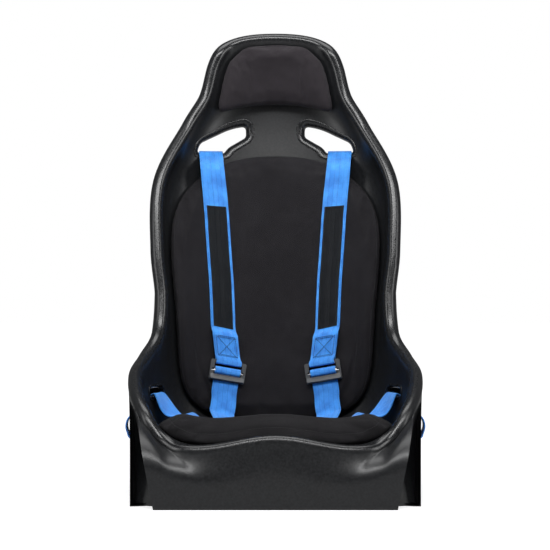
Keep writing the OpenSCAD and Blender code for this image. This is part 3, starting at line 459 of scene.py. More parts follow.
def moulded_plastic(name, cell, depth, gloss, rim=False):
    """Cell size and depth of the grain in metres. The rim is rubbed glossier and flatter than the rest."""
    made, graph, shader, where = finish(name, PLASTIC, gloss, Specular_IOR_Level=0.38)
    grain = use(graph, pebble, {"Vector": where["Object"], "Cell size": cell, "Roughening": 0.9})
    touched = graph.add("ShaderNodeAttribute", attribute_name="rim").outputs["Fac"] if rim else 0.3
    rubbed = use(graph, patches, {
        "Vector": where["Object"], "Where": touched, "Patch size": 0.04, "Amount": 0.6,
    })
    tint(graph, shader, grain["Tone"], PLASTIC_DARK, PLASTIC_LIGHT)
    in_patches = graph.calc("MULTIPLY", rubbed["Mask"], 0.04)
    handled = graph.calc("ADD", in_patches, graph.calc("MULTIPLY", touched, 0.11))
    rough = graph.calc("SUBTRACT", graph.span(grain["Tone"], 0, 1, gloss - 0.03, gloss + 0.05), handled)
    graph.tree.links.new(rough, shader.inputs["Roughness"])
    worn_flat = graph.calc("SUBTRACT", 1.0, graph.calc("MULTIPLY", touched, 0.8))
    bump(graph, shader, graph.calc("MULTIPLY", grain["Height"], worn_flat), depth)
    return made


shell_finish = moulded_plastic("moulded_shell", 0.0017, 0.000028, 0.33, rim=True)
trim_finish = moulded_plastic("slot_edging", 0.0017, 0.00003, 0.3)
print("plastics:", shell_finish.name, trim_finish.name)


# %% Stretch fabric over foam
def stretch_fabric(name, dark, light, pitch, sheen):
    made, graph, shader, where = finish(name, dark, 0.82, Specular_IOR_Level=0.25, Sheen_Weight=sheen,
                                        Sheen_Roughness=0.45)
    loops = use(graph, knit, {"Vector": where["Object"], "Direction": where["Normal"], "Pitch": pitch})
    rubbed = use(graph, patches, {
        "Vector": where["Object"], "Where": 1.0, "Patch size": 0.09, "Amount": 0.45,
    })
    in_loops = graph.calc("MULTIPLY", loops["Tone"], 0.6)
    share = graph.calc("ADD", in_loops, graph.calc("MULTIPLY", rubbed["Mask"], 0.4))
    tint(graph, shader, share, dark, light)
    graph.tree.links.new(graph.span(rubbed["Mask"], 0, 1, 0.86, 0.74), shader.inputs["Roughness"])
    bump(graph, shader, loops["Height"], 0.00012)
    return made


pad_finish = stretch_fabric(
    "pad_knit", (0.005, 0.0043, 0.006), (0.0078, 0.0069, 0.0093), 0.0011, 0.03)
head_finish = stretch_fabric(
    "headrest_knit", (0.0155, 0.0124, 0.0153), (0.0215, 0.0176, 0.0216), 0.0009, 0.05)
# The cushion gets the back pad's knit painted about six tenths as bright: a painted shade on the seat pan,
# not a darker fabric.
shaded_cushion_finish = stretch_fabric(
    "cushion_knit_painted_shade", (0.003, 0.0026, 0.0036), (0.0048, 0.0042, 0.0057), 0.0011, 0.02)
print("fabrics:", pad_finish.name, shaded_cushion_finish.name, head_finish.name)


# %% Blue webbing, and the black weave of the patches
def webbing(name, dark, light, gloss, sheen):
    made, graph, shader, where = finish(name, light, 0.5, Specular_IOR_Level=gloss, Sheen_Weight=sheen,
                                        Sheen_Roughness=0.35)
    cloth = use(graph, herringbone, {"Vector": where["UV"]})
    worn = use(graph, patches, {"Vector": where["UV"], "Where": 1.0, "Patch size": 0.03, "Amount": 0.5})
    raised_tone = graph.calc("ADD", cloth["Tone"], graph.calc("MULTIPLY", worn["Mask"], 0.4))
    # The grooves between the panels are painted darker: a painted shade in the grooves.
    share = graph.calc("SUBTRACT", raised_tone, graph.calc("MULTIPLY", cloth["Groove"], 0.3), clamp=True)
    tint(graph, shader, share, dark, light)
    graph.tree.links.new(graph.span(cloth["Tone"], 0, 1, 0.56, 0.4), shader.inputs["Roughness"])
    bump(graph, shader, cloth["Height"], 0.00022)
    return made


webbing_finish = webbing("blue_webbing", (0.006, 0.12, 0.56), (0.055, 0.35, 0.95), 0.45, 0.3)
patch_finish = webbing("black_patch", (0.0032, 0.0042, 0.0058), (0.0075, 0.0092, 0.012), 0.15, 0.02)
print("webbing:", webbing_finish.name, patch_finish.name)


# %% Thread, tape and metals
def thread(name, color):
    made, graph, shader, where = finish(name, color, 0.5, Specular_IOR_Level=0.4)
    strand = graph.add("ShaderNodeTexWave", {"Vector": where["Object"], "Scale": 900.0, "Distortion": 2.0})
    dark, light = tuple(0.6 * c for c in color), tuple(min(1.5 * c, 1) for c in color)
    tint(graph, shader, strand.outputs["Fac"], dark, light)
    bump(graph, shader, strand.outputs["Fac"], 0.00008)
    return made


def hook_and_loop(name):
    made, graph, shader, where = finish(name, (0.01, 0.01, 0.011), 0.95, Specular_IOR_Level=0.15)
    fuzz = graph.add("ShaderNodeTexNoise", {"Vector": where["Object"], "Scale": 900.0, "Detail": 2.0})
    tint(graph, shader, fuzz.outputs["Fac"], (0.005, 0.005, 0.006), (0.018, 0.018, 0.019))
    bump(graph, shader, fuzz.outputs["Fac"], 0.0006)
    return made


def metal(name, dark, light, roughness, metallic, streak, depth):
    made, graph, shader, where = finish(name, light, roughness, Metallic=metallic)
    drawn = graph.add("ShaderNodeMapping", {"Vector": where["Object"], "Scale": streak})
    grain = graph.add("ShaderNodeTexNoise", {"Vector": drawn.outputs[0], "Scale": 260.0, "Detail": 5.0})
    rubbed = use(graph, patches, {
        "Vector": where["Object"], "Where": 1.0, "Patch size": 0.012, "Amount": 0.45,
    })
    share = graph.calc("MULTIPLY", graph.calc("ADD", grain.outputs["Fac"], rubbed["Mask"]), 0.5)
    tint(graph, shader, share, dark, light)
    graph.tree.links.new(graph.span(rubbed["Mask"], 0, 1, roughness + 0.06, roughness - 0.06),
                         shader.inputs["Roughness"])
    bump(graph, shader, grain.outputs["Fac"], depth)
    return made


box_thread = thread("dark_blue_thread", (0.006, 0.035, 0.17))
patch_thread = thread("black_thread", (0.012, 0.012, 0.014))
tape_finish = hook_and_loop("hook_and_loop")
frame_finish = metal(
    "coated_steel", (0.045, 0.047, 0.051), (0.075, 0.079, 0.084), 0.36, 0.0, (1, 1, 1), 0.00004)
zinc_finish = metal(
    "zinc_plate", (0.48, 0.49, 0.5), (0.72, 0.72, 0.74), 0.3, 1.0, (1, 6, 1), 0.00003)
rail_finish = metal(
    "powder_coat", (0.022, 0.022, 0.024), (0.035, 0.035, 0.038), 0.5, 0.0, (1, 1, 1), 0.00009)
print("metals:", frame_finish.name, zinc_finish.name, rail_finish.name)

# %% [markdown]
# ## Building meshes from numbers
#
# Every piece below is a list of points in millimetres and a list of faces. One
# helper turns them into an object in metres, points its faces outward, gives it
# a finish, and lets it ride on its CAD body.

# %% From points to a piece
SIDES = (("right", False), ("left", True))     # each side's name, and whether it is the mirror image


def mirrored(points):
    return np.asarray(points, float) * [-1, 1, 1]


def on_side(points, flip):
    return mirrored(points) if flip else points


def lengths_along(points):
    """How far along a row of points each one lies."""
    return np.concatenate([[0], np.cumsum(np.linalg.norm(np.diff(points, axis=0), axis=1))])


def nearest_in(points):
    """A tree that finds the nearest of the points."""
    tree = KDTree(len(points))
    for k, p in enumerate(points):
        tree.insert(Vector(p), k)
    tree.balance()
    return tree


def baked_mesh(made):
    """A copy of a piece's mesh with its modifiers applied."""
    bpy.context.view_layer.update()
    return bpy.data.meshes.new_from_object(made.evaluated_get(bpy.context.evaluated_depsgraph_get()))


def piece(name, points, faces, material, body="seat", uv=None, sharp=35.0):
    """A new object. Edges that turn by more than the angle `sharp`, in degrees, stay sharp."""
    mesh = bpy.data.meshes.new(name)
    corners_of = [tuple(int(k) for k in f) for f in faces]
    mesh.from_pydata((np.asarray(points, float) * MM).tolist(), [], corners_of)
    if uv is not None:
        layer = mesh.uv_layers.new(name="UVMap")
        corner = np.empty(len(mesh.loops), np.int32)
        mesh.loops.foreach_get("vertex_index", corner)
        layer.data.foreach_set("uv", np.asarray(uv, np.float32)[corner].ravel())
    made = bpy.data.objects.new(name, mesh)
    bpy.context.scene.collection.objects.link(made)
    mesh.materials.append(material)
    tidy_faces(mesh, sharp)
    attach(made, body)
    return made


def tidy_faces(mesh, sharp):
    work = bmesh.new()
    work.from_mesh(mesh)
    bmesh.ops.recalc_face_normals(work, faces=work.faces)
    for face in work.faces:
        face.smooth = True
    for edge in work.edges:
        edge.smooth = not (edge.is_manifold and edge.calc_face_angle(0) > math.radians(sharp))
    work.to_mesh(mesh)
    work.free()


def coordinates(made):
    found = np.empty(len(made.data.vertices) * 3, np.float32)
    made.data.vertices.foreach_get("co", found)
    return found.reshape(-1, 3).astype(float)


def set_coordinates(made, points):
    made.data.vertices.foreach_set("co", np.asarray(points, np.float32).ravel())
    made.data.update()


def grid_faces(rows, count, start=0, closed=True):
    """Quads between rings of the same count, one after the other."""
    k, i = np.meshgrid(np.arange(rows - 1), np.arange(count if closed else count - 1), indexing="ij")
    a, b = start + k * count + i, start + k * count + (i + 1) % count
    return np.stack([a, b, b + count, a + count], -1).reshape(-1, 4).tolist()


def fan(ring, tip):
    return [(tip, ring[k], ring[(k + 1) % len(ring)]) for k in range(len(ring))]


print("mesh helpers ready")

# %% [markdown]
# ## The shell
#
# The tub ends in a rim that rolls outward and down. From the roll an outer wall
# falls to a flange on the floor all round the seat, and up the back it shrinks
# to a short return lip that keeps the edge stiff. The front corners are scooped
# out between the front panel and the flanks, as a mould with upright draft
# wants them. The CAD holds this in facets. Here the same rule is run three
# times as finely, so that the light runs along the roll without a break.

# %% The rim as a closed loop, softened at the four corners of the tub
FINE = 3                           # times finer than the CAD
CORNER_REACH = 1.6 * FINE          # points over which the evening out fades away from a corner
BASE_FRONT, BASE_REAR, BASE_W, PANEL_W, FOOT_W = 267.0, 190.0, 512.0, 424.0, 34.0
FLANK_FRONT = 161.0                # the flank starts this far forward, behind the scooped corner
REAR_U, LIP_U, RETURN_LIP = 3.9, 5.4, 16.0
CORNER_PLAN = np.array([
    [PANEL_W / 2 - 58, -BASE_FRONT], [PANEL_W / 2 - 32, -BASE_FRONT], [PANEL_W / 2 - 13, -BASE_FRONT],
    [PANEL_W / 2, -BASE_FRONT], [PANEL_W / 2 + 3, -205], [BASE_W / 2 - 8, -191], [BASE_W / 2, -207],
    [BASE_W / 2, -FLANK_FRONT],
], float)
CORNER_END = len(CORNER_PLAN) - 1  # the CAD's rib at which the flank starts
across, along_side = SIDE_STEPS * FINE, PAN_STEPS * FINE
loop = (
    [(0, 2 * k / across - 1) for k in range(across)]
    + [(CROWN * k / along_side, 1) for k in range(along_side)]
    + [(CROWN, 1 - 2 * k / across) for k in range(across)]
    + [(CROWN * (1 - k / along_side), -1) for k in range(along_side)]
)
loop = np.array(loop, float)
count = len(loop)
corners = [0, across, across + along_side, 2 * across + along_side]


def soften(values, passes, reach):
    """Evens out a closed row of values near the four corners only."""
    place = np.arange(count)
    far = np.min([np.minimum(np.abs(place - c), count - np.abs(place - c)) for c in corners], 0)
    weight = np.exp(-((far / reach) ** 2))
    weight = weight if values.ndim == 1 else weight[:, None]
    for _ in range(passes):
        values = values + weight * (0.5 * (np.roll(values, 1, 0) + np.roll(values, -1, 0)) - values) * 0.9
    return values


rim_sharp = tub(loop[:, 0], loop[:, 1])
rim = soften(rim_sharp, 24, CORNER_REACH)
print("rim loop of", count, "points, moved at most", round(float(np.abs(rim - rim_sharp).max()), 2), "mm")

# %% One rib of the outer wall at every point of the loop
MOST_TURN = 200                    # degrees that the rim rolls over by, at most
TUCK_END = 0.55                    # share of the wall's height in which it tucks in


def lerp_rows(table, j):
    k = np.clip(np.floor(j).astype(int), 0, len(table) - 2)
    t = np.clip(j - k, 0, 1)
    t = t if table.ndim == 1 else t[:, None]
    return table[k] * (1 - t) + table[k + 1] * t


def dot(a, b):
    return (a * b).sum(-1)


u_loop, v_loop = loop[:, 0], loop[:, 1]
along = unit(np.roll(rim, -FINE, 0) - np.roll(rim, FINE, 0))
normal = soften(tub_normal(u_loop, v_loop), 16, CORNER_REACH)
normal = unit(normal - dot(normal, along)[:, None] * along)
off = np.cross(along, normal)
back = ease(3, 4.8, u_loop)
drop = unit(np.stack([0 * back, back, back - 1], -1))
drop = unit(drop - dot(drop, along)[:, None] * along)
turn = np.degrees(np.arctan2(-dot(drop, normal), dot(drop, off)))
turn = soften(np.where(turn < 0, MOST_TURN, np.minimum(turn, MOST_TURN)), 10, CORNER_REACH)
centre = rim - RIM_R * normal
off_floor = ease(REAR_U, LIP_U, u_loop)[:, None]

j = u_loop / STEP
side_of = np.sign(v_loop)
plan = lerp_rows(CORNER_PLAN, np.minimum(j, CORNER_END))
reach_back = np.clip((u_loop - CORNER_END * STEP) / (REAR_U - CORNER_END * STEP), 0, 1)
flank_y = np.minimum(-FLANK_FRONT + (BASE_REAR + FLANK_FRONT) * reach_back, BASE_REAR)
plan[:, 1] = np.where(j > CORNER_END, flank_y, plan[:, 1])
base = np.stack([plan[:, 0] * side_of, plan[:, 1], 0 * j], -1)
front = u_loop == 0
base[front] = np.stack([v_loop[front] * CORNER_PLAN[0, 0], 0 * j[front] - BASE_FRONT, 0 * j[front]], -1)
base_step = np.roll(base, -FINE, 0) - np.roll(base, FINE, 0)
base_step = np.where(np.linalg.norm(base_step, axis=1, keepdims=True) < 0.01,
                     np.stack([0 * j, v_loop, 0 * j], -1), unit(base_step))
base_in = np.stack([-base_step[:, 1], base_step[:, 0], 0 * j], -1)

ROLL, WALL = 14, 20                # steps round the roll and down the wall


def roll_direction(share):
    a = np.radians(turn * share)[:, None]
    return np.sin(a) * off + np.cos(a) * normal


rolled = roll_direction(1.0)
edge = centre + RIM_R * rolled
heading = unit(np.cos(np.radians(turn))[:, None] * off - np.sin(np.radians(turn))[:, None] * normal)
hem = (edge + heading * RETURN_LIP) * off_floor + base * (1 - off_floor)
fall = hem - edge
straight_x = lerp_rows(np.array([0, 0, 0, 1, 1, 1, 0, 0, 0], float), np.minimum(j, 8))
straight_y = lerp_rows(np.array([0, 0, 0, 0, 1, 1, 0, 0, 0], float), np.minimum(j, 8))
straight_x, straight_y = straight_x * (u_loop > 0), straight_y * (u_loop > 0)


def wall(t):
    """A point down the outer wall. It tucks in under the rim, then stands upright."""
    t = np.broadcast_to(t, (count,))
    tucked = (1 - off_floor[:, 0]) * (1 - (1 - np.minimum(t / TUCK_END, 1)) ** 2) + off_floor[:, 0] * t
    sx = tucked * (1 - straight_x) + t * straight_x
    sy = tucked * (1 - straight_y) + t * straight_y
    return edge + fall * np.stack([sx, sy, t], -1)


face_out = unit(np.cross(fall, along))
face_out = np.where(dot(face_out, rolled)[:, None] < 0, -face_out, face_out)
turn_in = FOOT_W * (1 - off_floor) + SKIN * 1.5 * off_floor
inward = unit((1 - off_floor) * unit(base_in) - off_floor * face_out)
lift = unit((1 - off_floor) * np.array([0.0, 0, 1]) - off_floor * unit(fall))
shares = np.linspace(0, 1, WALL + 1)[1:] ** 1.25
outer = [centre + RIM_R * roll_direction(k / ROLL) for k in range(1, ROLL + 1)]
outer += [wall(t) for t in shares] + [hem + inward * turn_in * s for s in (0.08, 1.0)]
short = 1 - SKIN / np.linalg.norm(fall, axis=1)
inner = [centre + (RIM_R - SKIN) * roll_direction(k / ROLL) for k in range(1, ROLL + 1)]
inner += [wall(t * short) - SKIN * face_out for t in shares[:-1]]
inner += [hem + SKIN * inward + SKIN * lift, hem + inward * turn_in + SKIN * lift]
print("rolls turn", round(float(turn.min())), "to", round(float(turn.max())), "degrees;",
      len(outer), "rows outside")

# %% Assemble the shell from the tub's two faces and the wall's two sides
PULL_REACH = 45                    # mm from a softened corner in which the tub follows it
SHELL_SHARP = 50                   # degrees that the shell turns by at an edge that stays sharp


def seat_grid():
    """The tub's face, with its corners drawn to the softened rim."""
    u = np.linspace(0, CROWN, along_side + 1)[:, None]
    v = np.linspace(-1, 1, across + 1)[None, :]
    points = tub(u, v)
    facing = tub_normal(u, v)
    moved = rim - rim_sharp
    active = np.linalg.norm(moved, axis=1) > 0.01
    flat, home = points.reshape(-1, 3), rim_sharp[active]
    gaps = np.linalg.norm(flat[:, None, :] - home[None, :, :], axis=2)
    near = gaps.min(1) < PULL_REACH
    share = 1 / (gaps[near] ** 2 + 1.0)
    pull = (share[:, :, None] * moved[active][None]).sum(1) / share.sum(1)[:, None]
    flat[near] += pull * ((1 - gaps.min(1)[near] / PULL_REACH) ** 2)[:, None]
    return flat.reshape(points.shape), facing


face_grid, facing = seat_grid()
columns = across + 1
edge_index = np.array(
    [k for k in range(across)] + [k * columns + across for k in range(along_side)]
    + [along_side * columns + across - k for k in range(across)]
    + [(along_side - k) * columns for k in range(along_side)]
)
face_points = face_grid.reshape(-1, 3)
face_points[edge_index] = rim
rear_points = face_points - SKIN * facing.reshape(-1, 3)
total = len(face_points)
points = np.concatenate([face_points, rear_points, *outer, *inner])
faces = []
for start in (0, total):
    faces += grid_faces(along_side + 1, columns, start, closed=False)
    a = start + edge_index
    b = 2 * total + (0 if start == 0 else len(outer) * count) + np.arange(count)
    faces += [(a[k], b[k], b[(k + 1) % count], a[(k + 1) % count]) for k in range(count)]
    faces += grid_faces(len(outer) if start == 0 else len(inner), count, int(b[0]))
last_outer = 2 * total + (len(outer) - 1) * count
last_inner = 2 * total + (len(outer) + len(inner) - 1) * count
faces += [(last_outer + k, last_inner + k, last_inner + (k + 1) % count, last_outer + (k + 1) % count)
          for k in range(count)]
shell = piece("shell_smooth", points, faces, shell_finish, sharp=SHELL_SHARP)
print("shell:", len(shell.data.vertices), "points,", len(shell.data.polygons), "faces")

# %% [markdown]
# ## The openings of the shell
#
# Two slots let the shoulder straps through behind the neck, two let the lap
# straps in at the hips, and the lap straps leave again through the flanks. Bolt
# holes sit in the foot and the flanks. Drawing them into the mesh by hand would
# break its even rows, so each is a solid that is cut away at once.

# %% Outlines of the slots
def soft_outline(points, lengths, n):
    """A closed outline whose corners are rounded off over the given lengths."""
    made, m = [], len(points)
    for k in range(m):
        p = points[k]
        a = p + unit(points[(k - 1) % m] - p) * lengths[k]
        b = p + unit(points[(k + 1) % m] - p) * lengths[k]
        made += [(1 - t) ** 2 * a + 2 * t * (1 - t) * p + t**2 * b for t in np.linspace(0, 1, n + 1)]
    return np.array(made)


def even_outline(points, spacing):
    """The same closed outline, walked in equal steps."""
    closed = np.concatenate([points, points[:1]])
    far = lengths_along(closed)
    at = np.linspace(0, far[-1], max(int(far[-1] / spacing), 8), endpoint=False)
    return np.stack([np.interp(at, far, closed[:, k]) for k in range(closed.shape[1])], -1)


def grown(points, distance):
    t = unit(np.roll(points, -1, 0) - np.roll(points, 1, 0))
    return points + distance * np.stack([t[:, 1], -t[:, 0]], -1)


STRAP_GAP, SEAT_LINE = 260.0, 651.0
HALF = STRAP_GAP / 2
SHOULDER_SLOT = even_outline(soft_outline(np.array([
    [HALF - 73, SEAT_LINE + 33], [HALF - 38, SEAT_LINE + 12], [HALF - 30, SEAT_LINE], [HALF + 26, SEAT_LINE],
    [HALF + 21, SEAT_LINE + 18], [HALF - 44, SEAT_LINE + 51], [HALF - 73, SEAT_LINE + 55],
]), [6, 8, 5, 4, 10, 20, 9], 8), 2.4)
HIP_SLOT = even_outline(soft_outline(np.array([
    [-33, -8], [33, -8], [33, 8], [-33, 8],
], float), [7] * 4, 8), 2.4)
HIP_U, HIP_Z = 3.15, 186.0
HIP_SPAN = float(np.linalg.norm(tub(HIP_U + 0.1, 0.75) - tub(HIP_U - 0.1, 0.75)) * 5)


def on_hip(a, up, rise, facets=False):
    a, up, rise = np.broadcast_arrays(arr(a), arr(up), arr(rise))
    u = HIP_U - a / HIP_SPAN
    return raised(u, find_v(u, 2, HIP_Z + up, 0, 0.4), rise, facets)


def slot_cutter(place, outline, lip):
    hole = grown(outline, lip)
    rises = [7.0, 0.0, -SKIN, -SKIN - 7]
    rings = [place(hole[:, 0], hole[:, 1], r) for r in rises]
    middle = (outline.max(0) + outline.min(0)) / 2
    caps = [place(middle[0], middle[1], r)[0] for r in (rises[0], rises[-1])]
    n = len(hole)
    made = grid_faces(4, n) + fan(list(range(n)), 4 * n) + fan([3 * n + k for k in range(n)], 4 * n + 1)
    return np.concatenate([*rings, caps]), made


def rounded_block(centre_point, axis_x, long, high, deep, round_r, steps=10):
    """A block through a wall, with round ends where round_r is half its height."""
    angles = np.linspace(0, 2 * np.pi, 4 * steps, endpoint=False)
    a = np.stack([np.cos(angles), np.sin(angles)], -1) * round_r
    a += np.sign(np.round(a, 6)) * [long / 2 - round_r, high / 2 - round_r]
    p = [np.array([d, q[0], q[1]]) if axis_x else np.array([q[0], q[1], d]) for d in (-deep, deep) for q in a]
    n = len(a)
    made = grid_faces(2, n) + [tuple(range(n)), tuple(range(n, 2 * n))]
    return np.array(p) + centre_point, made


LAP_Y, FLANK_SLOT_Z, FLANK_SLOT_H, LAP_ANCHOR_Z = 58.0, 152.0, 20.0, 62.0
BOLT_ROWS, SIDE_BOLT_Z, BUSH_HOLE, BOLT_HOLE = (-145.0, 145.0), 60.0, 14.4, 8.5
BASE_BOLT_X = BASE_W / 2 - 20
cutters = [
    slot_cutter(on_back, SHOULDER_SLOT, 11.5),
    slot_cutter(on_hip, HIP_SLOT, 4.6),
    rounded_block([BASE_W / 2, LAP_Y, FLANK_SLOT_Z], True, 58, FLANK_SLOT_H, 12, 9),
    rounded_block([BASE_W / 2, LAP_Y, LAP_ANCHOR_Z - 12], True, BOLT_HOLE, BOLT_HOLE, 12, BOLT_HOLE / 2),
]
for y in BOLT_ROWS:
    cutters.append(rounded_block([BASE_W / 2, y, SIDE_BOLT_Z], True, BUSH_HOLE, BUSH_HOLE, 12, BUSH_HOLE / 2))
    cutters.append(rounded_block([BASE_BOLT_X, y, 0], False, BOLT_HOLE, BOLT_HOLE, 15, BOLT_HOLE / 2))
all_points, all_faces = [], []
for _, flip in SIDES:
    for p, f in cutters:
        start = sum(len(q) for q in all_points)
        all_points.append(on_side(p, flip))
        all_faces += [tuple(int(k) + start for k in face) for face in f]
cutter = piece("cutter", np.concatenate(all_points), all_faces, shell_finish)
print("cutters:", 2 * len(cutters))

# %% Cut them away, and give the rolled rim its polish mask
POLISH_REACH = 0.014               # metres from the crest of the rim

cut = shell.modifiers.new("openings", "BOOLEAN")
cut.object, cut.operation, cut.solver = cutter, "DIFFERENCE", "EXACT"
opened = baked_mesh(shell)
shell.modifiers.clear()
shell.data = opened
tidy_faces(shell.data, SHELL_SHARP)
bpy.data.objects.remove(cutter)
tree = nearest_in((centre + RIM_R * roll_direction(0.35)) * MM)
crest = shell.data.attributes.new("rim", "FLOAT", "POINT")
far = np.array([tree.find(v.co)[2] for v in shell.data.vertices])
crest.data.foreach_set("value", np.clip(1 - far / POLISH_REACH, 0, 1).astype(np.float32))
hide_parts("seat_shell")
print("shell after cutting:", len(shell.data.polygons), "faces, and",
      round(float((far < POLISH_REACH).mean()), 2), "of it on the rim")

# %% [markdown]
# ### Slot edges
#
# Cut edges would chafe the webbing, so the slots are turned in: the surface
# rises to a soft bead and rolls back into the hole. The turned edge is swept
# round each outline as a closed profile of (distance outward, height).

# %% Turned edges of the slots
def profile_curve(points, steps):
    p = np.asarray(points, float)
    made = []
    for k in range(len(p)):
        a, b, c, d = p[k - 1], p[k], p[(k + 1) % len(p)], p[(k + 2) % len(p)]
        for t in np.arange(steps) / steps:
            made.append(spline(a, b, c, d, t))
    return np.array(made)


def slot_edge(name, place, outline, lip, depth, flip):
    profile = profile_curve([
        [lip + 3, 0.05], [lip + 2.4, 1.3], [lip, 1.7], [lip * 0.6, 0.6], [lip * 0.26, -depth * 0.2],
        [lip * 0.06, -depth * 0.55], [0, -depth], [2.2, -depth], [lip - 0.8, -SKIN - 0.8], [lip - 0.7, 0.0],
    ], 4)
    rings = [place(*grown(outline, q[0]).T, q[1]) for q in profile]
    n = len(outline)
    made_points = np.concatenate(rings)
    made_faces = grid_faces(len(profile) + 1, n)
    made_faces = [tuple(k % len(made_points) for k in f) for f in made_faces]
    made = piece(name, on_side(made_points, flip), made_faces, trim_finish, sharp=60)
    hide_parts(name.replace("edge", "trim"))


for side, flip in SIDES:
    slot_edge(f"shoulder_edge_{side}", on_back, SHOULDER_SLOT, 12, 13, flip)
    slot_edge(f"hip_edge_{side}", on_hip, HIP_SLOT, 5.0, 8, flip)
print("four slot edges")

# %% [markdown]
# ## The harness routes
#
# The pads give way under the straps, so the straps' routes come first. They
# follow the CAD: from the adjuster up the back, over the edge of the shoulder
# slot and down to an anchor behind the seat. The lower strap runs from the
# adjuster to the cushion, where the lap strap is sewn to it. The lap strap goes
# out through the hip slot and the flank. A route is a row of points with the
# direction of the strap's width at each one.

# %% The adjuster's place, and the layers of the harness
TAPE_T, GAP, BACK_PAD_T, HEAD_PAD_T, CUSHION_T, BOLSTER_H = 2.5, 0.15, 27.0, 27.0, 36.0, 15.0
WEB_W, WEB_T = 50.0, 2.4
ADJUSTER_Z, ADJUSTER_H, ADJUSTER_T, LOCK_TRAVEL = 203, 40.0, 3.5, 2.5
PAD_FACE, CUSHION_FACE = TAPE_T + GAP + BACK_PAD_T, TAPE_T + GAP + CUSHION_T
WEB_LAYER = WEB_T + GAP
WEB_MID = WEB_LAYER - WEB_T / 2
STRAP_RISE, SLOT_EDGE_RISE = PAD_FACE + 3.4 + WEB_MID, 2.3 + WEB_MID


def strap_x(height):
    heights = [100, 160, ADJUSTER_Z, 270, 375, 515, 600, 650]
    return np.interp(height, heights, [103, 98, 93, 100, 105, 115, 123, 128])


def on_line(height, x, rise):
    u = back_u(height)
    v = find_v(u, 0, x, rise)
    point = on_facet(u, v) + rise * tub_normal(u, v)
    return np.concatenate([point[0], unit(tub(u, v + 0.03) - tub(u, v - 0.03))[0]])


def on_strap(height, rise):
    return on_line(height, strap_x(height), rise)


def behind(height, rise):
    return on_line(height, HALF - 2, rise)


ADJUSTER_FACE = PAD_FACE + 2 * WEB_LAYER + 5.5
adj_u = back_u(ADJUSTER_Z)
adj_v = find_v(adj_u, 0, strap_x(ADJUSTER_Z), ADJUSTER_FACE)
adj_y = -tub_normal(adj_u, adj_v)[0]
adj_o = on_facet(adj_u, adj_v)[0] - ADJUSTER_FACE * adj_y
adj_up = (tub(adj_u + 0.1, adj_v) - tub(adj_u - 0.1, adj_v))[0]
adj_up = unit(adj_up - (adj_up @ adj_y) * adj_y)
lean = math.radians(6)
adj_x = math.cos(lean) * np.cross(adj_y, adj_up) + math.sin(lean) * adj_up
adj_z = np.cross(adj_x, adj_y)


def at_adjuster(y, z, x=0.0):
    return np.concatenate([adj_o + y * adj_y + z * adj_z + x * adj_x, adj_x])


print("adjuster stands at", adj_o.round(1), "and leans", round(math.degrees(lean)), "degrees")

# %% Shoulder strap: sewn fold, back, slot, anchor
BAR_R = 3.6
WRAP_R = BAR_R + 0.3 + WEB_T / 2
LOWER_TOP = -BAR_R - 0.6 - WEB_T
LOWER_BAR_H, UPPER_BAR_H = 12, 5.5
UPPER_LOW = LOWER_TOP - LOWER_BAR_H + ADJUSTER_H - UPPER_BAR_H
FOLD_LEAN = 0.27                   # how far the sewn fold drifts sideways for each mm up


def at_fold(y, z):
    return at_adjuster(y, z, FOLD_LEAN * max(z - UPPER_LOW, 0))


TAB_LOOP = [
    (32, 6.35), (20, 7.35), (10, 7.35), (9, 7), (8.65, 6), (8.65, 3), (9, 2), (10, 1.5), (38, 1.5),
]
anchor_u = back_u(440)
anchor_v = find_v(anchor_u, 0, HALF)
anchor_n = tub_normal(anchor_u, anchor_v)[0]
anchor_o = on_facet(anchor_u, anchor_v)[0] - SKIN * anchor_n
anchor_up = (tub(anchor_u + 0.1, anchor_v) - tub(anchor_u - 0.1, anchor_v))[0]
anchor_up = unit(anchor_up - (anchor_up @ anchor_n) * anchor_n)
anchor_side = np.cross(-anchor_n, anchor_up)


def at_shoulder_tab(up, out):
    return np.concatenate([anchor_o + up * anchor_up - out * anchor_n, -anchor_side])


upper_route = np.array(
    [at_fold(WEB_MID, z) for z in (72, 56, 40, 26, UPPER_LOW)]
    + [at_adjuster(0.98, UPPER_LOW - 0.98), at_adjuster(0, UPPER_LOW - WEB_MID),
       at_adjuster(-ADJUSTER_T, UPPER_LOW - WEB_MID), at_adjuster(-ADJUSTER_T - 0.98, UPPER_LOW - 0.98)]
    + [at_adjuster(-ADJUSTER_T - WEB_MID, z) for z in (UPPER_LOW, UPPER_LOW + UPPER_BAR_H)]
    + [at_fold(-ADJUSTER_T, 27)] + [at_fold(-WEB_T / 2 - 0.05, z) for z in (34, 48, 62, 72)]
    + [on_strap(h, STRAP_RISE) for h in np.arange(288, 604.01, 24.3)]
    + [on_strap(618, STRAP_RISE - 6), on_strap(636, SLOT_EDGE_RISE + 5), on_strap(645, SLOT_EDGE_RISE + 0.6),
       on_strap(649, SLOT_EDGE_RISE - 1), on_strap(652.2, -1.5), on_strap(651 + WEB_LAYER, -6),
       on_strap(651 + WEB_LAYER, -11), behind(649, -13.4), behind(639, -12.6)]
    + [behind(h, -SKIN - WEB_T / 2 - 0.7) for h in np.arange(621, 519, -30)]
    + [at_shoulder_tab(60, 1.5), at_shoulder_tab(44, 4.9)] + [at_shoulder_tab(*q) for q in TAB_LOOP]
)
print("shoulder strap:", len(upper_route), "stations")

# %% Lower strap and lap strap
TAIL_Y, BAR_Y = WEB_MID + WEB_LAYER + 0.2, -ADJUSTER_T / 2
LAP_RISE = CUSHION_FACE + WEB_T / 2 + 4
SEAM_RISE, SEAM_S, SEAM_D = LAP_RISE + WEB_LAYER + 2, 105.0, 54.0


def round_bar(angle, up):
    a = math.radians(angle)
    return at_adjuster(BAR_Y + WRAP_R * math.cos(a), up + WRAP_R * math.sin(a))


def on_cushion(s, depth, rise, width):
    return np.concatenate([on_pan(s, depth, rise, facets=True)[0], width])


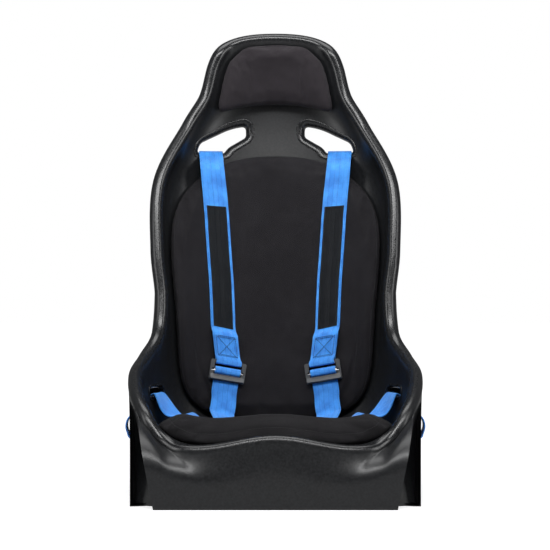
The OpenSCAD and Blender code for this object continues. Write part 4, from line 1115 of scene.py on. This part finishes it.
seam_across = unit(on_pan(SEAM_S + 20, SEAM_D, 0, True) - on_pan(SEAM_S - 20, SEAM_D, 0, True))[0]
lower_route = np.array(
    [at_adjuster(TAIL_Y, z) for z in (-34, -24, -12)] + [at_adjuster(TAIL_Y - 0.3, -2)]
    + [round_bar(a, LOCK_TRAVEL) for a in range(0, 181, 30)] + [round_bar(a, 0) for a in range(180, 271, 30)]
    + [at_adjuster(0, -WRAP_R), at_adjuster(1.03, LOWER_TOP + 1.03)]
    + [at_adjuster(WEB_MID, z) for z in (LOWER_TOP, -24)] + [at_adjuster(WEB_MID + 0.3, -40)]
    + [on_strap(h, STRAP_RISE + 1.5) for h in (142, 124, 108)]
    + [on_cushion(SEAM_S, d, CUSHION_FACE + r, seam_across) for d, r in ((142, 14), (122, 11), (106, 10))]
    + [on_cushion(SEAM_S, d, SEAM_RISE, seam_across) for d in (90, 70, 50, 34)]
)
upright = np.array([0.0, 1.0, 0.0])
hip_across = unit(on_hip(-20, 0, 0, True) - on_hip(20, 0, 0, True))[0]
lap_in, hip_mid = on_pan(133, SEAM_D, LAP_RISE, True)[0], on_hip(0, 0, 0, True)[0]


def lap_hump(share, ahead, under, turned):
    return [lap_in[0] + (hip_mid[0] - lap_in[0]) * share, hip_mid[1] - ahead, HIP_Z - under, -turned, 1, 0]


def beside_flank(out, z, y=LAP_Y):
    return [BASE_W / 2 + out, y, z, 0, 1, 0]


def catmull(rows, steps):
    """A smooth row of points through the given ones."""
    rows = np.asarray(rows, float)
    ends = np.concatenate([[2 * rows[0] - rows[1]], rows, [2 * rows[-1] - rows[-2]]])
    made = []
    for k in range(len(rows) - 1):
        a, b, c, d = ends[k:k + 4]
        for t in np.arange(steps) / steps:
            made.append(spline(a, b, c, d, t))
    return np.array(made + [rows[-1]])


lap_route = np.array(
    [on_cushion(s, SEAM_D, LAP_RISE, upright) for s in (62, 86, SEAM_S, 133)]
    + [lap_hump(*q) for q in ((0.1, 8, 65, 0), (0.25, 11, 46, 0.05), (0.38, 12, 39, 0.15),
                              (0.52, 11, 43, 0.35), (0.66, 8, 42, 0.6), (0.78, 4, 29, 0.6))]
    + [np.concatenate([on_hip(0, up, rise, True)[0], hip_across])
       for up, rise in ((-3, 7), (-5.4, -3), (-5.8, -11))]
    + [beside_flank(-11, 164.5, LAP_Y - 3), beside_flank(-3, 153.5), beside_flank(8, 149),
       beside_flank(20, 138), beside_flank(23.5, 122), beside_flank(18, 104)]
)
lap_route = np.concatenate([
    catmull(lap_route, 3), [[BASE_W / 2 + out, LAP_Y, LAP_ANCHOR_Z + up, 0, 1, 0] for up, out in TAB_LOOP],
])
print("lower strap:", len(lower_route), "stations; lap strap:", len(lap_route))

# %% [markdown]
# ## The pads
#
# Foam pads are cut flat, covered in stretch fabric and pulled down over the
# tub. Their faces crown a little, their edges are drawn in towards the seam at
# the back, and they swell between whatever holds them. A subdivided block would
# be quick and look it. Instead each pad starts a little thin, is remeshed into
# even faces, and is blown up as cloth for twenty frames while its back is held
# on the tub. How far a point may move is capped, so that the pad stays in the
# space that the CAD gives it.

# %% The pads' outlines and the shape across their edge
def pad_outline(half, low, mid, high, low_n, high_n, steps):
    a = 2 * np.pi * np.arange(steps) / steps
    n = np.where(np.sin(a) > 1e-12, high_n, low_n)
    x = half * np.sign(np.cos(a)) * np.abs(np.cos(a)) ** (2 / n)
    reach = np.where(np.sin(a) > 1e-12, high - mid, mid - low)
    return np.stack([x, mid + reach * np.sign(np.sin(a)) * np.abs(np.sin(a)) ** (2 / n)], -1)


HEAD_OUTLINE = soft_outline(np.array([
    [132, 734], [121, 792], [100, 842], [62, 868], [-62, 868],
    [-100, 842], [-121, 792], [-132, 734], [0, 746],
], float), [22, 20, 14, 14, 14, 14, 20, 22, 60], 8)
BACK_OUTLINE = pad_outline(236, 114, 400, 646, 8, 2.3, 1440)
CUSHION_OUTLINE = pad_outline(232, -223, -45, 117, 8, 5, 1440)
# share of the outline, inset from it, share of the thickness
PAD_RINGS = np.array([
    [0.4, 0, 1], [0.68, 0, 0.99], [0.85, 0, 0.97], [1, 22, 0.93], [1, 13, 0.84], [1, 6, 0.69], [1, 1.5, 0.5],
    [1, 0, 0.32], [1, 3, 0.1], [1, 8, 0], [0.7, 0, 0], [0.35, 0, 0],
])


def pad_rings():
    """The CAD's rings with two more between each pair, and some near the middle."""
    smooth = catmull(PAD_RINGS, 3)
    smooth[:, 0] = np.minimum(smooth[:, 0], 1)
    smooth[:, 1:] = np.maximum(smooth[:, 1:], 0)
    return np.concatenate([[[0.1, 0, 1], [0.2, 0, 1], [0.3, 0, 1]], smooth, [[0.2, 0, 0], [0.1, 0, 0]]])


def pad_mesh(place, outline, middle, thick, thinner):
    outline = even_outline(outline, 6.0)
    rings = pad_rings()
    middle, n = np.array(middle, float), len(outline)
    reach = np.linalg.norm(outline - middle, axis=1)
    points = []
    for share, inset, height in rings:
        q = middle + (outline - middle) * np.minimum(share, np.maximum((reach - inset) / reach, 0))[:, None]
        points.append(place(q[:, 0], q[:, 1], TAPE_T + GAP + height * (thick(q) - thinner)))
    full = thick(middle[None])[0] - thinner
    ends = [place(middle[0], middle[1], TAPE_T + GAP + k * full)[0] for k in (1, 0)]
    last = len(rings) * n
    made = grid_faces(len(rings), n)
    made += fan(list(range(n)), last) + fan([last - n + k for k in range(n)], last + 1)
    return np.concatenate([*points, ends]), made


print("outlines:", len(HEAD_OUTLINE), len(BACK_OUTLINE), len(CUSHION_OUTLINE), "points;",
      len(pad_rings()), "rings")

# %% Blowing a pad up as cloth
CLOTH_FRAMES = 20


def remeshed(made, voxel):
    step = made.modifiers.new("even_faces", "REMESH")
    step.mode, step.voxel_size, step.use_smooth_shade = "VOXEL", voxel, True
    relax = made.modifiers.new("relax", "SMOOTH")
    relax.factor, relax.iterations = 0.5, 2
    mesh = baked_mesh(made)
    made.modifiers.clear()
    old, made.data = made.data, mesh
    bpy.data.meshes.remove(old)


def blown_up(made, held, pressure, cap_mm):
    """Cloth under pressure, with some points held and none moved further than the cap."""
    start = coordinates(made)
    group = made.vertex_groups.new(name="held")
    group.add([int(k) for k in np.nonzero(held)[0]], 1.0, "REPLACE")
    cloth = made.modifiers.new("blow_up", "CLOTH")
    cloth.settings.quality = 5
    cloth.settings.mass = 0.3
    cloth.settings.tension_stiffness = cloth.settings.compression_stiffness = 12
    cloth.settings.bending_stiffness = 0.8
    cloth.settings.use_pressure = True
    cloth.settings.uniform_pressure_force = pressure
    cloth.settings.vertex_group_mass = "held"
    cloth.settings.effector_weights.gravity = 0
    cloth.collision_settings.use_collision = False
    cloth.point_cache.frame_start, cloth.point_cache.frame_end = 1, CLOTH_FRAMES
    for step in range(1, CLOTH_FRAMES + 1):
        bpy.context.scene.frame_set(step)
    shaped = made.evaluated_get(bpy.context.evaluated_depsgraph_get()).to_mesh()
    moved = np.empty(len(shaped.vertices) * 3, np.float32)
    shaped.vertices.foreach_get("co", moved)
    made.evaluated_get(bpy.context.evaluated_depsgraph_get()).to_mesh_clear()
    made.modifiers.remove(cloth)
    bpy.context.scene.frame_set(1)
    made.vertex_groups.clear()
    shift = moved.reshape(-1, 3).astype(float) - start
    far = np.linalg.norm(shift, axis=1, keepdims=True)
    shift *= np.minimum(far, cap_mm * MM) / np.maximum(far, 1e-9)
    set_coordinates(made, start + shift)
    return float(far.max() / MM)


print("cloth helper ready")

# %% [markdown]
# ### Where the webbing presses
#
# A strap that lies on foam sinks into it a little, and the foam swells up to
# meet it. The inner face of each strap is sampled, and the pad is raised or
# pressed to just under it, with a soft slope out to both sides.

# %% Strap frames, and samples of their inner faces
STRAP_STEPS = 5                    # points of a strap for each station of its route


def strap_frame(route, steps=STRAP_STEPS):
    """Points, width and thickness directions, and lengths along a route."""
    fine = catmull(route, steps)
    points, wide = fine[:, :3], unit(fine[:, 3:])
    along_it = unit(np.gradient(points, axis=0))
    thick = unit(np.cross(along_it, wide))
    return points, wide, thick, lengths_along(points)


tub_u, tub_v = np.meshgrid(np.linspace(0, CROWN, 240), np.linspace(-0.99, 0.99, 150), indexing="ij")
TUB_POINTS = tub(tub_u.ravel(), tub_v.ravel())
TUB_FACING = tub_normal(tub_u.ravel(), tub_v.ravel())
tub_tree = nearest_in(TUB_POINTS)


def over_tub(points):
    """The height of points over the tub, and the direction it is measured in."""
    near = np.array([tub_tree.find(Vector(p))[1] for p in points])
    facing = TUB_FACING[near]
    return dot(points - TUB_POINTS[near], facing), facing


def inner_face(route, first, last):
    points, wide, thick, _ = strap_frame(route[first:last])
    _, facing = over_tub(points)
    inward = np.where(dot(thick, facing)[:, None] > 0, -thick, thick)
    face = [points + a * wide + (WEB_T / 2 + 0.3) * inward for a in np.linspace(-24, 24, 9)]
    right = np.concatenate(face)
    return np.concatenate([right, mirrored(right)])


strap_faces = np.concatenate([
    inner_face(upper_route, 16, 31), inner_face(lower_route, 17, len(lower_route)),
    inner_face(lap_route, 0, 14),
])
strap_tree = nearest_in(strap_faces)
print("samples of the straps' inner faces:", len(strap_faces))

# %% Seat a pad's face under the straps
def seat_under_straps(made, most_up, most_down):
    points = coordinates(made) / MM
    height, facing = over_tub(points)
    shift = np.zeros(len(points))
    for k in np.nonzero(height > 9)[0]:
        for _, index, far in strap_tree.find_n(Vector(points[k]), 4):
            to = strap_faces[index] - points[k]
            rise = float(to @ facing[k])
            beside = math.sqrt(max(far * far - rise * rise, 0))
            if beside < 60 and -20 < rise < 20:
                share = 1 - float(ease(6, 52, beside))
                shift[k] = share * min(max(rise, -most_down), most_up)
                break
    set_coordinates(made, (points + shift[:, None] * facing) * MM)
    return shift


# %% [markdown]
# ### Seams and thread
#
# The face panel of a pad's cover meets its side panel in a seam. Sewing pulls
# the fabric down along it, so the seam is a shallow groove with thread lying in
# it. Each stitch is a short tube that dips into the fabric at both ends.

# %% Stitches along a line
def stitches(name, lines, material, slot, stitch=3.2, gap=1.3, radius=0.4, body="seat"):
    """Lines are [(points, outward directions)] in millimetres."""
    points, faces = [], []
    for line, up in lines:
        far = lengths_along(line)
        for start in np.arange(0, far[-1] - stitch, stitch + gap):
            at = start + stitch * np.linspace(0, 1, 5)
            middle = np.stack([np.interp(at, far, line[:, k]) for k in range(3)], -1)
            out = unit(np.stack([np.interp(at, far, up[:, k]) for k in range(3)], -1))
            forward = unit(np.gradient(middle, axis=0))
            side = unit(np.cross(forward, out))
            middle = middle + out * (radius * np.array([-0.9, 0.35, 0.6, 0.35, -0.9]))[:, None]
            first = len(points) * 6
            for m, o, s in zip(middle, out, side):
                angles = np.arange(6) * np.pi / 3
                points.append(m + radius * (np.cos(angles)[:, None] * s + np.sin(angles)[:, None] * o))
            faces += grid_faces(5, 6, first)
            faces += [tuple(range(first, first + 6)), tuple(range(first + 24, first + 30))]
    return piece(name, np.concatenate(points), faces, material, body, sharp=80)


def groove(made, line, depth, reach):
    """Pulls a piece's surface in along a closed line of points."""
    tree = nearest_in(line)
    points = coordinates(made) / MM
    facing = np.empty(len(points) * 3, np.float32)
    made.data.vertices.foreach_get("normal", facing)
    near = np.array([tree.find(Vector(p))[2] for p in points])
    pull = depth * np.clip(1 - near / reach, 0, 1) ** 2
    set_coordinates(made, (points - pull[:, None] * facing.reshape(-1, 3)) * MM)


def onto(made, line):
    """The nearest points of a piece's surface, and its directions there."""
    tree = BVHTree.FromObject(made, bpy.context.evaluated_depsgraph_get())
    found = [tree.find_nearest(Vector(p * MM)) for p in line]
    return np.array([f[0] for f in found]) / MM, np.array([f[1] for f in found])


print("seam helpers ready")

# %% Make a pad
THIN_BY, EVEN_FACE = 3.5, 0.005    # mm that a pad starts too thin, and metres across its even faces
HELD_BELOW = TAPE_T + 3.5          # mm over the tub: the pad's back, which doesn't swell
PRESSURE, MOST_SHIFT = 4.0, 4.0    # the cloth's pressure, and mm that a strap may move the foam


def pad(name, place, outline, middle, thick, material, slot, cap, seam_share):
    points, faces = pad_mesh(place, outline, middle, thick, THIN_BY)
    made = piece(name, points, faces, material, sharp=180)
    remeshed(made, EVEN_FACE)
    height, _ = over_tub(coordinates(made) / MM)
    moved = blown_up(made, height < HELD_BELOW, PRESSURE, cap)
    shift = seat_under_straps(made, MOST_SHIFT, MOST_SHIFT)
    outline = even_outline(outline, 2.0)
    middle = np.array(middle, float)
    reach = np.linalg.norm(outline - middle, axis=1)
    edge_line = middle + (outline - middle) * ((reach - 1.0) / reach)[:, None]
    seam = place(edge_line[:, 0], edge_line[:, 1], TAPE_T + GAP + seam_share * thick(edge_line))
    bpy.context.view_layer.update()
    seam, _ = onto(made, seam)
    groove(made, seam, 1.3, 5.0)
    smooth = made.modifiers.new("finer", "SUBSURF")
    smooth.levels = smooth.render_levels = 1
    bpy.context.view_layer.update()
    line, up = onto(made, np.concatenate([seam, seam[:1]]))
    stitches(name + "_thread", [(line + 0.1 * up, up)], patch_thread, slot, 3.4, 1.4, 0.35)
    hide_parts(name.replace("_cover", ""))
    print(name, "swelled", round(moved, 1), "mm at most, held to", cap, "and met the straps by",
          round(float(shift.min()), 1), "to", round(float(shift.max()), 1), "mm,",
          len(made.data.polygons), "faces")


pad("headrest_pad_cover", on_back, HEAD_OUTLINE, [0, 802], lambda q: np.full(len(q), HEAD_PAD_T),
    head_finish, "headrest_fabric", 5, 0.4)
pad("back_pad_cover", on_back, BACK_OUTLINE, [0, 400], lambda q: np.full(len(q), BACK_PAD_T),
    pad_finish, "pad_fabric", 5, 0.4)
pad("seat_cushion_cover", on_pan, CUSHION_OUTLINE, [0, -45],
    lambda q: CUSHION_T + BOLSTER_H * (1 - ease(-187, -125, q[:, 1])),
    shaded_cushion_finish, "pad_fabric", 6, 0.4)

# %% [markdown]
# ## The webbing
#
# A strap is a flat ribbon with rounded selvedges, so it is swept: one closed
# cross-section, carried along the route. Cloth simulation would let it drape,
# but its lie is settled by what it passes through, and the sweep keeps its
# width honest. Each point also stores how far across and how far along the
# strap it lies, which is where the weave takes its direction from.

# %% Sweep a strap along its route
def strap_section(wide, thick, front=22):
    """Closed section as (across, through), front face first, in millimetres."""
    half, r = wide / 2, thick / 2
    face = np.linspace(-(half - r), half - r, front)
    turn = np.radians([60, 30, 0, -30, -60])
    return np.concatenate([
        np.stack([face, 0 * face - r], -1),
        np.stack([half - r + r * np.cos(turn[::-1]), r * np.sin(turn[::-1])], -1),
        np.stack([face[::-1], 0 * face + r], -1),
        np.stack([-(half - r) - r * np.cos(turn), r * np.sin(turn)], -1),
    ])


def front_is(points, thick):
    """Which way through the strap faces the room, taken at the strap's middle."""
    k = len(points) // 2
    return 1.0 if thick[k, 1] > 0 else -1.0


def swept(name, node, frame_of, section, material, creases=(), shift=0.0):
    """Creases are (place along, height, reach, slant); the shift moves the section through the strap."""
    points, wide, thick, length = frame_of
    rows = []
    for p, w, n, far in zip(points, wide, thick, length):
        across_it, through = section[:, 0], section[:, 1] + shift
        lift = sum(h * np.exp(-(((far + slant * across_it) - at) / reach) ** 2)
                   for at, h, reach, slant in creases)
        through = through - lift
        rows.append(p + across_it[:, None] * w + through[:, None] * n)
    m = len(section)
    made_faces = grid_faces(len(points), m)
    made_faces += [tuple(range(m)), tuple((len(points) - 1) * m + k for k in range(m))]
    uv = np.stack([np.tile(section[:, 0], len(points)), np.repeat(length, m)], -1) * MM
    for side, flip in SIDES:
        placed = on_side(np.concatenate(rows), flip)
        one = piece(f"{name}_{side}", placed, made_faces, material, uv=uv, sharp=60)
        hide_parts(f"{node}_{side}")


STRAP = strap_section(WEB_W, WEB_T)
upper = strap_frame(upper_route)
lower = strap_frame(lower_route)
lap = strap_frame(lap_route, 3)


def length_at(frame_of, height, first=0.0):
    """How far along a strap it passes a height, after a first length."""
    points, _, _, length = frame_of
    crossed = (points[:-1, 2] - height) * (points[1:, 2] - height) <= 0
    k = np.nonzero((length[:-1] >= first) & crossed)[0]
    return float(length[k[0]])


fold_front = float(upper[3][10 * STRAP_STEPS])
crease_a, crease_b = (length_at(lower, z, float(lower[3][17 * STRAP_STEPS])) for z in (150, 138))
swept("shoulder_strap_web", "shoulder_strap", upper, STRAP, webbing_finish)
swept("lower_strap_web", "lower_strap", lower, STRAP, webbing_finish,
      creases=[(crease_a, 0.8, 2.6, 0.16), (crease_b, 0.6, 2.2, 0.12)])
swept("lap_strap_web", "lap_strap", lap, STRAP, webbing_finish)
print("shoulder strap", round(float(upper[3][-1])), "mm, lower strap", round(float(lower[3][-1])),
      "mm, lap strap", round(float(lap[3][-1])), "mm long")

# %% [markdown]
# ### Patches and sewn joints
#
# A woven patch is sewn along each shoulder strap, and the strap's end is
# sewn back on itself above the adjuster in the usual box with a cross. Both
# are drawn on the strap itself: a line is a row of (along, across) places,
# and a helper lifts it onto the strap's front face.

# %% Patches with a bound edge
def cut_out(frame_of, first, last):
    keep = (frame_of[3] >= first) & (frame_of[3] <= last)
    return tuple(part[keep] for part in frame_of)


PATCH_W, PATCH_T = 39.0, 1.0
patch_first, patch_last = (float(upper[3][k * STRAP_STEPS]) for k in (16, 26))
half, r = PATCH_W / 2, PATCH_T / 2
bound = np.array([
    [-half, 0.3], [-half, -0.35], [-half + 0.35, -r - 0.16], [-half + 1.2, -r - 0.22],
    [-half + 2.0, -r - 0.14], [-half + 2.4, -r], *[[x, -r] for x in np.linspace(-half + 4, half - 4, 12)],
    [half - 2.4, -r], [half - 2.0, -r - 0.14], [half - 1.2, -r - 0.22], [half - 0.35, -r - 0.16],
    [half, -0.35], [half, 0.3], [half - 0.4, r], [-half + 0.4, r],
])
side_of_strap = front_is(upper[0], upper[2])
patch_frame = cut_out(upper, patch_first, patch_last)
swept("strap_patch_woven", "strap_patch", patch_frame, bound * [1, side_of_strap], patch_finish,
      shift=-side_of_strap * ((WEB_T + PATCH_T) / 2 + 0.2))


def on_front(frame_of, along_it, across_it, proud):
    """Places on a strap's front face, and the direction it faces."""
    points, wide, thick, length = frame_of
    lie = [np.stack([np.interp(along_it, length, part[:, k]) for k in range(3)], -1)
           for part in (points, wide, thick)]
    out = -unit(lie[2]) * front_is(points, thick)
    return lie[0] + np.asarray(across_it)[:, None] * lie[1] + (WEB_T / 2 + proud) * out, out


def sewn_line(frame_of, start, end, proud):
    """A straight line of thread between two (along, across) places."""
    t = np.linspace(0, 1, max(int(np.linalg.norm(np.subtract(end, start)) / 2), 2))
    along_it, across_it = (start[k] + (end[k] - start[k]) * t for k in (0, 1))
    return on_front(frame_of, along_it, across_it, proud)


def both_sides(name, lines, material, slot, **sizes):
    for side, flip in SIDES:
        placed = [(on_side(p, flip), on_side(n, flip)) for p, n in lines]
        stitches(f"{name}_{side}", placed, material, slot, **sizes)


edge_s = PATCH_W / 2 - 1.2
patch_lines = [
    sewn_line(upper, (patch_first + 1.5, x), (patch_last - 1.5, x), PATCH_T + 0.42)
    for x in (-edge_s, edge_s)
] + [
    sewn_line(upper, (a, -edge_s), (a, edge_s), PATCH_T + 0.3)
    for a in (patch_first + 1.5, patch_last - 1.5)
]
both_sides("patch_edge_thread", patch_lines, patch_thread, "strap_patch", stitch=2.4, gap=0.7, radius=0.3)
print("patches", round(patch_last - patch_first), "mm long")

# %% The box and cross above the adjuster
BOX_W, INNER_W, INNER_IN = 38, 36, 2.6     # the box, and the second row inside its ends
low, high = length_at(upper, 250, fold_front), length_at(upper, 290, fold_front)
w, inner_w = BOX_W // 2, INNER_W // 2
box = [((low, -w), (high, -w)), ((high, -w), (high, w)), ((high, w), (low, w)), ((low, w), (low, -w)),
       ((low, -w), (high, w)), ((low, w), (high, -w))]
box += [((at, -inner_w), (at, inner_w)) for at in (low + INNER_IN, high - INNER_IN)]
both_sides("box_stitch_thread", [sewn_line(upper, a, b, 0.3) for a, b in box], box_thread, "webbing",
           stitch=3.2, gap=0.7, radius=0.5)
lower_end = float(lower[3][-1])
seam_box = [((lower_end - a, -20), (lower_end - a, 20)) for a in (4, 9, 44)]
both_sides("lower_seam_thread", [sewn_line(lower, a, b, 0.0) for a, b in seam_box], box_thread, "webbing",
           stitch=3.0, gap=0.9, radius=0.42)
print("box stitch", round(high - low), "mm high")

# %% [markdown]
# ## Hook-and-loop tapes
#
# The pads are held by broad tapes glued to the tub. Little of them shows, so
# each is a thin sheet that follows the tub, with a fuzzy finish and a bevelled
# edge, drawn between the same stations as in the CAD.

# %% Tapes behind the pads
def tape(name, node, rows, columns, thick):
    """Rows and columns are the first and last of the CAD's stations that the tape covers."""
    u = np.linspace(rows[0], rows[1], 6 * (rows[1] - rows[0]) + 1) * STEP
    edges = [2 * c / SIDE_STEPS - 1 for c in columns]
    v = np.linspace(edges[0], edges[1], 4 * (columns[1] - columns[0]) + 1)
    uu, vv = np.meshgrid(u, v, indexing="ij")
    facing = tub_normal(uu, vv)
    flat = on_facet(uu, vv)
    m, n = uu.shape
    top = np.minimum(np.minimum(np.arange(m), np.arange(m)[::-1])[:, None], 1) * np.minimum(
        np.minimum(np.arange(n), np.arange(n)[::-1])[None, :], 1)
    rise = 0.35 * thick + 0.6 * thick * top
    below, above_it = flat + 0.05 * facing, flat + rise[..., None] * facing
    points = np.concatenate([below.reshape(-1, 3), above_it.reshape(-1, 3)])
    made_faces = grid_faces(m, n, 0, closed=False) + grid_faces(m, n, m * n, closed=False)
    ring = ([j for j in range(n)] + [i * n + n - 1 for i in range(1, m)]
            + [(m - 1) * n + j for j in range(n - 2, -1, -1)] + [i * n for i in range(m - 2, 0, -1)])
    made_faces += [(ring[k], ring[(k + 1) % len(ring)], m * n + ring[(k + 1) % len(ring)], m * n + ring[k])
                   for k in range(len(ring))]
    made = piece(name, points, made_faces, tape_finish, sharp=80)
    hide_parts(node)


tape("headrest_tape_fuzzy", "headrest_tape", (38, 41), (7, 17), TAPE_T)
tape("back_tape_upper_fuzzy", "back_tape_upper", (27, 29), (6, 18), TAPE_T)
tape("back_tape_lower_fuzzy", "back_tape_lower", (19, 21), (6, 18), TAPE_T - 0.8)
tape("cushion_tape_fuzzy", "cushion_tape", (4, 10), (9, 15), TAPE_T - 0.8)
print("four tapes")

# %% [markdown]
# ## Metal parts
#
# The adjusters, their lock bars, the anchors, the rails and the bushes keep
# their CAD shape, which is exact. What they lack is a finish, and the small
# radius that every stamped edge has. A bevel modifier adds that radius without
# touching the mesh itself.

# %% Finishes and softened edges for the CAD's metal parts
BEVEL_ANGLE = 40                   # degrees from which an edge gets a radius


def dress(node, material, edge_mm):
    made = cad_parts[node]
    made.data.materials.clear()
    made.data.materials.append(material)
    weld = made.modifiers.new("close_seams", "WELD")
    weld.merge_threshold = 0.00002
    soft = made.modifiers.new("edge_radius", "BEVEL")
    soft.width, soft.segments = edge_mm * MM, 2
    soft.limit_method, soft.angle_limit = "ANGLE", math.radians(BEVEL_ANGLE)
    soft.harden_normals = False


for side in ("left", "right"):
    dress(f"adjuster_{side}", frame_finish, 0.5)
    dress(f"lock_bar_{side}", zinc_finish, 0.15)
    dress(f"shoulder_anchor_{side}", zinc_finish, 0.35)
    dress(f"lap_anchor_{side}", zinc_finish, 0.35)
    dress(f"side_bush_{side}", zinc_finish, 0.4)
    dress(f"base_rail_{side}", rail_finish, 0.5)
print("metal parts dressed:", 12)

# %% [markdown]
# ## The studio
#
# A white floor under a white sky, one wide lamp above, another in front and
# above, and a tall one at each side. Black plastic shows its form by what it
# reflects and hardly by its shade, so the lamps are long and bright and the sky
# between them is dim: they draw the lines of light that run along the rolled
# rim. Floor and sky are white to the camera only. In reflections the floor
# keeps a share of its white, and the sky stays dim.

# %% Floor, sky and lamps
REFLECTED = 0.3                    # share of the floor's white that reflections see
SKY_LIGHT = 0.13                   # the sky's strength wherever the camera doesn't look at it


def white_to_camera(graph, lit_shader, strength):
    """Adds plain white for the camera and through glass, and a share of it in reflections."""
    light_path = graph.add("ShaderNodeLightPath").outputs
    seen = graph.calc("MAXIMUM", light_path["Is Camera Ray"], light_path["Is Transmission Ray"])
    seen = graph.calc("MAXIMUM", seen, graph.calc("MULTIPLY", light_path["Is Glossy Ray"], REFLECTED))
    shine = graph.calc("MULTIPLY", seen, strength)
    glow = graph.add("ShaderNodeEmission", {"Color": (1, 1, 1, 1), "Strength": shine})
    made = graph.add("ShaderNodeAddShader")
    graph.tree.links.new(lit_shader, made.inputs[0])
    graph.tree.links.new(glow.outputs[0], made.inputs[1])
    return made.outputs[0]


floor_finish, g, shader, where = finish("paper_floor", (0.5, 0.5, 0.5), 0.9, Specular_IOR_Level=0.1)
fibres = g.add("ShaderNodeTexNoise", {"Vector": where["Object"], "Scale": 220.0, "Detail": 3.0})
tint(g, shader, fibres.outputs["Fac"], (0.47, 0.47, 0.475), (0.52, 0.52, 0.52))
from_seat = g.add("ShaderNodeVectorMath", {0: where["Object"]}, operation="LENGTH").outputs["Value"]
output = floor_finish.node_tree.nodes["Material Output"]
whiter_away = g.span(from_seat, 0.6, 3.0, 0.65, 1.0)
g.tree.links.new(white_to_camera(g, shader.outputs[0], whiter_away), output.inputs["Surface"])

paper = bpy.data.meshes.new("paper")
paper.from_pydata([(x, y, 0) for x, y in ((-14, -14), (14, -14), (14, 14), (-14, 14))], [], [(0, 1, 2, 3)])
floor = bpy.data.objects.new("paper_floor", paper)
bpy.context.scene.collection.objects.link(floor)
floor.location.z = -0.0002
paper.materials.append(floor_finish)

sky = bpy.data.worlds.new("soft_sky")
bpy.context.scene.world = sky
sky.use_nodes = True
g = Graph(sky.node_tree)
light_path = g.add("ShaderNodeLightPath").outputs
seen = g.calc("MAXIMUM", light_path["Is Camera Ray"], light_path["Is Transmission Ray"])
background = sky.node_tree.nodes["Background"]
background.inputs["Color"].default_value = (1, 1, 1, 1)
g.tree.links.new(g.span(seen, 0, 1, SKY_LIGHT, 1.0), background.inputs["Strength"])


def lamp(name, place, aim, size, power):
    data = bpy.data.lights.new(name, "AREA")
    data.shape, data.size, data.size_y, data.energy = "RECTANGLE", size[0], size[1], power
    made = bpy.data.objects.new(name, data)
    made.location = place
    made.rotation_euler = (Vector(aim) - Vector(place)).to_track_quat("-Z", "Y").to_euler()
    bpy.context.scene.collection.objects.link(made)


lamp("lamp_above", (0, 0.1, 3.0), (0, 0.1, 0.5), (2.0, 1.2), 40)
lamp("lamp_left", (-2.5, -1.3, 1.5), (0, 0, 0.5), (0.8, 1.6), 24)
lamp("lamp_right", (2.5, -1.3, 1.5), (0, 0, 0.5), (0.8, 1.6), 27)
lamp("lamp_front", (0, -2.1, 2.9), (0, 0, 0.5), (3.2, 0.6), 105)
bpy.context.scene.view_settings.view_transform = "Standard"
print("paper, sky and four lamps")
